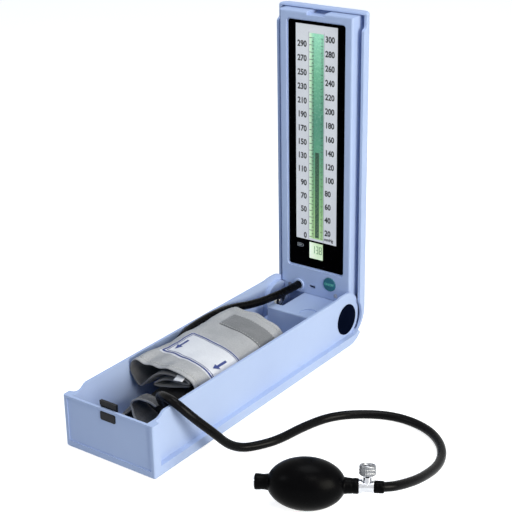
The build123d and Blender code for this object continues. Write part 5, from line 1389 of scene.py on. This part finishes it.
@dataclass
class Bulb:
    """The hand bulb, its necks and the release knob of the valve; profiles are distances along an axis and radii."""

    centre: Point = (173.7, -111.7, 21.6)
    reach: float = 30.7
    half_length: float = 31.6
    half_width: float = 21.45
    neck_radius: float = 6.4
    left_neck: tuple[Pair, ...] = (
        (-36.3, 5.25), (-40.4, 5.25), (-40.9, 5.5), (-41.0, 5.9), (-40.6, 6.35), (-39.8, 6.5), (-37.0, 6.4),
        (-35.4, 6.15), (-33.4, 6.2), (-31.2, 6.5))
    right_neck: tuple[Pair, ...] = (
        (31.2, 6.7), (32.6, 6.4), (34.5, 6.3), (36.0, 6.25), (36.6, 5.9), (37.2, 6.25), (40.6, 6.25), (41.3, 5.9),
        (41.6, 5.2), (41.6, 0.0))
    ring: tuple[Pair, ...] = (
        (-39.6, 4.7), (-41.3, 4.7), (-41.7, 4.3), (-41.7, 3.2), (-41.2, 2.9), (-40.8, 2.0), (-40.8, 0.0))
    collar: tuple[Pair, ...] = (
        (0.2, 4.02), (0.2, 4.7), (0.5, 5.0), (3.4, 5.0), (3.8, 4.85), (4.2, 5.0), (7.2, 5.0), (8.0, 4.6),
        (8.3, 4.02))
    knob_at: Point = (215.436, -87.99, 21.6)
    knob_axis: Point = (-0.1526, 0.2687, 0.9511)
    knob_turns: int = 180
    knob_flutes: int = 30
    flute_depth: float = 0.42
    flutes_on: Pair = (9.6, 16.6)  # where they start and end along the axis
    groove_depth: float = 0.45
    grooves_at: Pair = (12.0, 14.6)
    groove_width: float = 0.35
    side_from: float = 5.9  # the radius from which a point belongs to the side
    knob_foot: tuple[Pair, ...] = (
        (3.0, 0.0), (3.0, 1.5), (8.5, 1.5), (8.6, 1.9), (8.6, 4.4), (8.9, 5.4), (9.6, 6.3), (10.0, 6.55))
    knob_head: tuple[Pair, ...] = (
        (16.4, 6.6), (17.0, 6.4), (17.5, 6.0), (17.6, 5.6), (17.5, 5.2), (16.9, 5.05), (16.1, 4.95), (15.8, 4.6),
        (15.8, 0.0))
    recess: tuple[Pair, ...] = ((15.83, 4.55), (15.95, 4.4), (15.95, 0.0))

    def skin(self) -> Piece:
        """The bulb with both necks: an ellipse turned round the axis between two turned profiles.

        Returns:
            The mesh object.
        """
        along = self.reach * np.sin(np.linspace(-1, 1, 90) * math.pi / 2)
        radius = self.half_width * np.sqrt(np.clip(1 - (along / self.half_length) ** 2, 0, 1))
        body = np.stack([along, radius], 1)[radius > self.neck_radius]
        profile = np.concatenate([self.left_neck, body, self.right_neck])
        return turned("bulb_skin", profile, self.centre, VALVE_LINE, 96)

    def knob(self) -> Piece:
        """The knurled knob: a turned profile whose side is cut in.

        A point on the side loses a flute's depth times one less a cosine of its angle, and the depth of a turned
        groove near two heights, where the flutes end. The flutes also end below and above the side.

        Returns:
            The mesh object.
        """
        profile = [*self.knob_foot, *[(10.2 + 0.3 * k, 6.7) for k in range(20)], *self.knob_head]
        points, faces = lathe(profile, self.knob_at, self.knob_axis, self.knob_turns)
        axis = unit(np.array(self.knob_axis))
        local = points / MM - np.array(self.knob_at)
        height = local @ axis
        spoke = local - height[:, None] * axis
        radius = np.linalg.norm(spoke, axis=1)
        angle = np.tile(np.linspace(0, 2 * math.pi, self.knob_turns, endpoint=False), len(profile))
        crest = 0.5 + 0.5 * np.cos(angle * self.knob_flutes)
        first, second = [np.exp(-((height - place) / self.groove_width) ** 2) for place in self.grooves_at]
        bands, side = 1 - first - second, radius > self.side_from
        between = ease((height - self.flutes_on[0]) / 0.8) * ease((self.flutes_on[1] - height) / 0.8)
        deep = self.flute_depth * between * side * bands
        groove = self.groove_depth * (1 - bands) * side
        factor = (radius - deep * (1 - crest) - groove) / np.maximum(radius, 1e-6)
        points = np.array(self.knob_at) + height[:, None] * axis + spoke * factor[:, None]
        return merged(make("knurled_knob", lift(points), faces))

    def build(self) -> None:
        """Turn the bulb, its inlet ring and the hose's collar, then the knob and its dark recess."""
        dress(self.skin(), RUBBER, "base", "black_rubber", "bulb")
        dress(turned("inlet_ring", self.ring, self.centre, VALVE_LINE, 48), CHROME, "base", "chrome")
        dress(turned("hose_collar", self.collar, HOSE_END, VALVE_LINE, 64), RUBBER, "base", "black_rubber")
        dress(self.knob(), GUNMETAL, "valve_knob", "chrome", "valve_knob")
        dress(turned("knob_recess", self.recess, self.knob_at, self.knob_axis, 48), BLACK, "valve_knob", "chrome")


@dataclass
class Studio:
    """Camera, lamps, floor and surround."""

    azimuth: float = 36.349
    elevation: float = 22.306
    roll: float = -0.953
    distance: float = 1330.291
    across: float = -53.834
    above: float = 79.85
    lens: float = 91.78
    aim: Point = (0.05, 0.02, 0.1)
    lamps: tuple[tuple[str, Point, float, float, Colour], ...] = (
        ("right_softbox", (1.55, -0.28, 0.58), 0.85, 25.0, (1.0, 0.965, 0.85)),
        ("front_softbox", (-0.75, -1.25, 1.0), 0.3, 3.0, (0.9, 0.95, 1.0)),
        ("high_softbox", (0.95, -0.75, 1.4), 0.35, 4.0, (1.0, 0.98, 0.94)),
        ("top_softbox", (0.1, 0.1, 1.8), 0.9, 13.0, (0.95, 0.975, 1.0)))

    def axes(self) -> tuple[Array, Array, Array]:
        """Work out how the camera is turned, from its azimuth, elevation and roll in degrees.

        Returns:
            Its right, up and backward directions.
        """
        az, el, roll = np.radians([self.azimuth, self.elevation, self.roll])
        back = np.array([math.sin(az) * math.cos(el), -math.cos(az) * math.cos(el), math.sin(el)])
        right = np.array([math.cos(az), math.sin(az), 0.0])
        up = np.cross(back, right)
        return math.cos(roll) * right + math.sin(roll) * up, -math.sin(roll) * right + math.cos(roll) * up, back

    def camera(self) -> None:
        """Set the camera where the photograph was taken from."""
        right, up, back = self.axes()
        place = self.across * right + self.above * up + self.distance * back + np.array([0, AXIS_Y, FOOT_RISE])
        lens = bpy.data.cameras.new("studio_camera")
        lens.lens, lens.sensor_width, lens.clip_end = self.lens, 36.0, 50.0
        holder = hang("studio_camera", lens)
        rows = np.vstack([np.column_stack([right, up, back, place * MM]), [0, 0, 0, 1]])
        holder.matrix_world = Matrix(rows.tolist())
        bpy.context.scene.camera = holder

    def lamp(self, name: str, place: Point, size: float, power: float, colour: Colour) -> None:
        """Hang a square area lamp that faces the object.

        Args:
            name: Its name.
            place: Where it hangs, in metres.
            size: Its side in metres.
            power: Its power in watts.
            colour: Its colour.
        """
        light = bpy.data.lights.new(name, "AREA")
        light.size, light.energy, light.color = size, power, colour
        holder = hang(name, light)
        holder.location = place
        holder.rotation_mode = "QUATERNION"
        holder.rotation_quaternion = (Vector(self.aim) - Vector(place)).to_track_quat("-Z", "Y")

    def floor(self) -> None:
        """Lay a wide floor that keeps the object's shadow and looks white where there is none."""
        corners = np.array([(-6, -6, 0), (6, -6, 0), (6, 6, 0), (-6, 6, 0)], float)
        ground = make("studio_floor", corners, np.array([[0, 1, 2, 3]]), smooth=False)
        tree = Paint("studio_floor_white")
        tree.set({"Base Color": (0.6, 0.6, 0.6, 1), "Roughness": 0.9, "Specular IOR Level": 0.0,
                  "Emission Color": (1, 1, 1, 1), "Emission Strength": tree.spread(tree.seen(), 0.0, 0.82, 0, 1)})
        ground.data.materials.append(tree.made)

    def surround(self) -> None:
        """Put a world round the object that looks white and gives a soft bluish light."""
        world = bpy.data.worlds.new("studio_surround")
        bpy.context.scene.world = world
        tree = Nodes(world)
        soft = tree.add("Background", {0: (0.5, 0.72, 1.0, 1), 1: 0.24})
        white = tree.add("Background", {0: (1, 1, 1, 1), 1: 1.0})
        pick = tree.add("MixShader", {0: tree.seen(), 1: soft.outputs[0], 2: white.outputs[0]})
        tree.add("OutputWorld", {0: pick.outputs[0]})

    def build(self) -> None:
        """Set up the whole studio."""
        self.camera()
        for lamp in self.lamps:
            self.lamp(*lamp)
        self.floor()
        self.surround()
        bpy.context.scene.view_settings.view_transform = "Standard"


def main() -> None:
    """Build every piece in order and note it."""
    logging.basicConfig(level=logging.INFO, format="%(name)s %(message)s")
    for group in (Studio(), Casing(), CatchSpring(), Bulb(), Hoses(), Graphics(), Roll(), Bag(), Tail()):
        group.build()


if __name__ == "__main__":
    main()
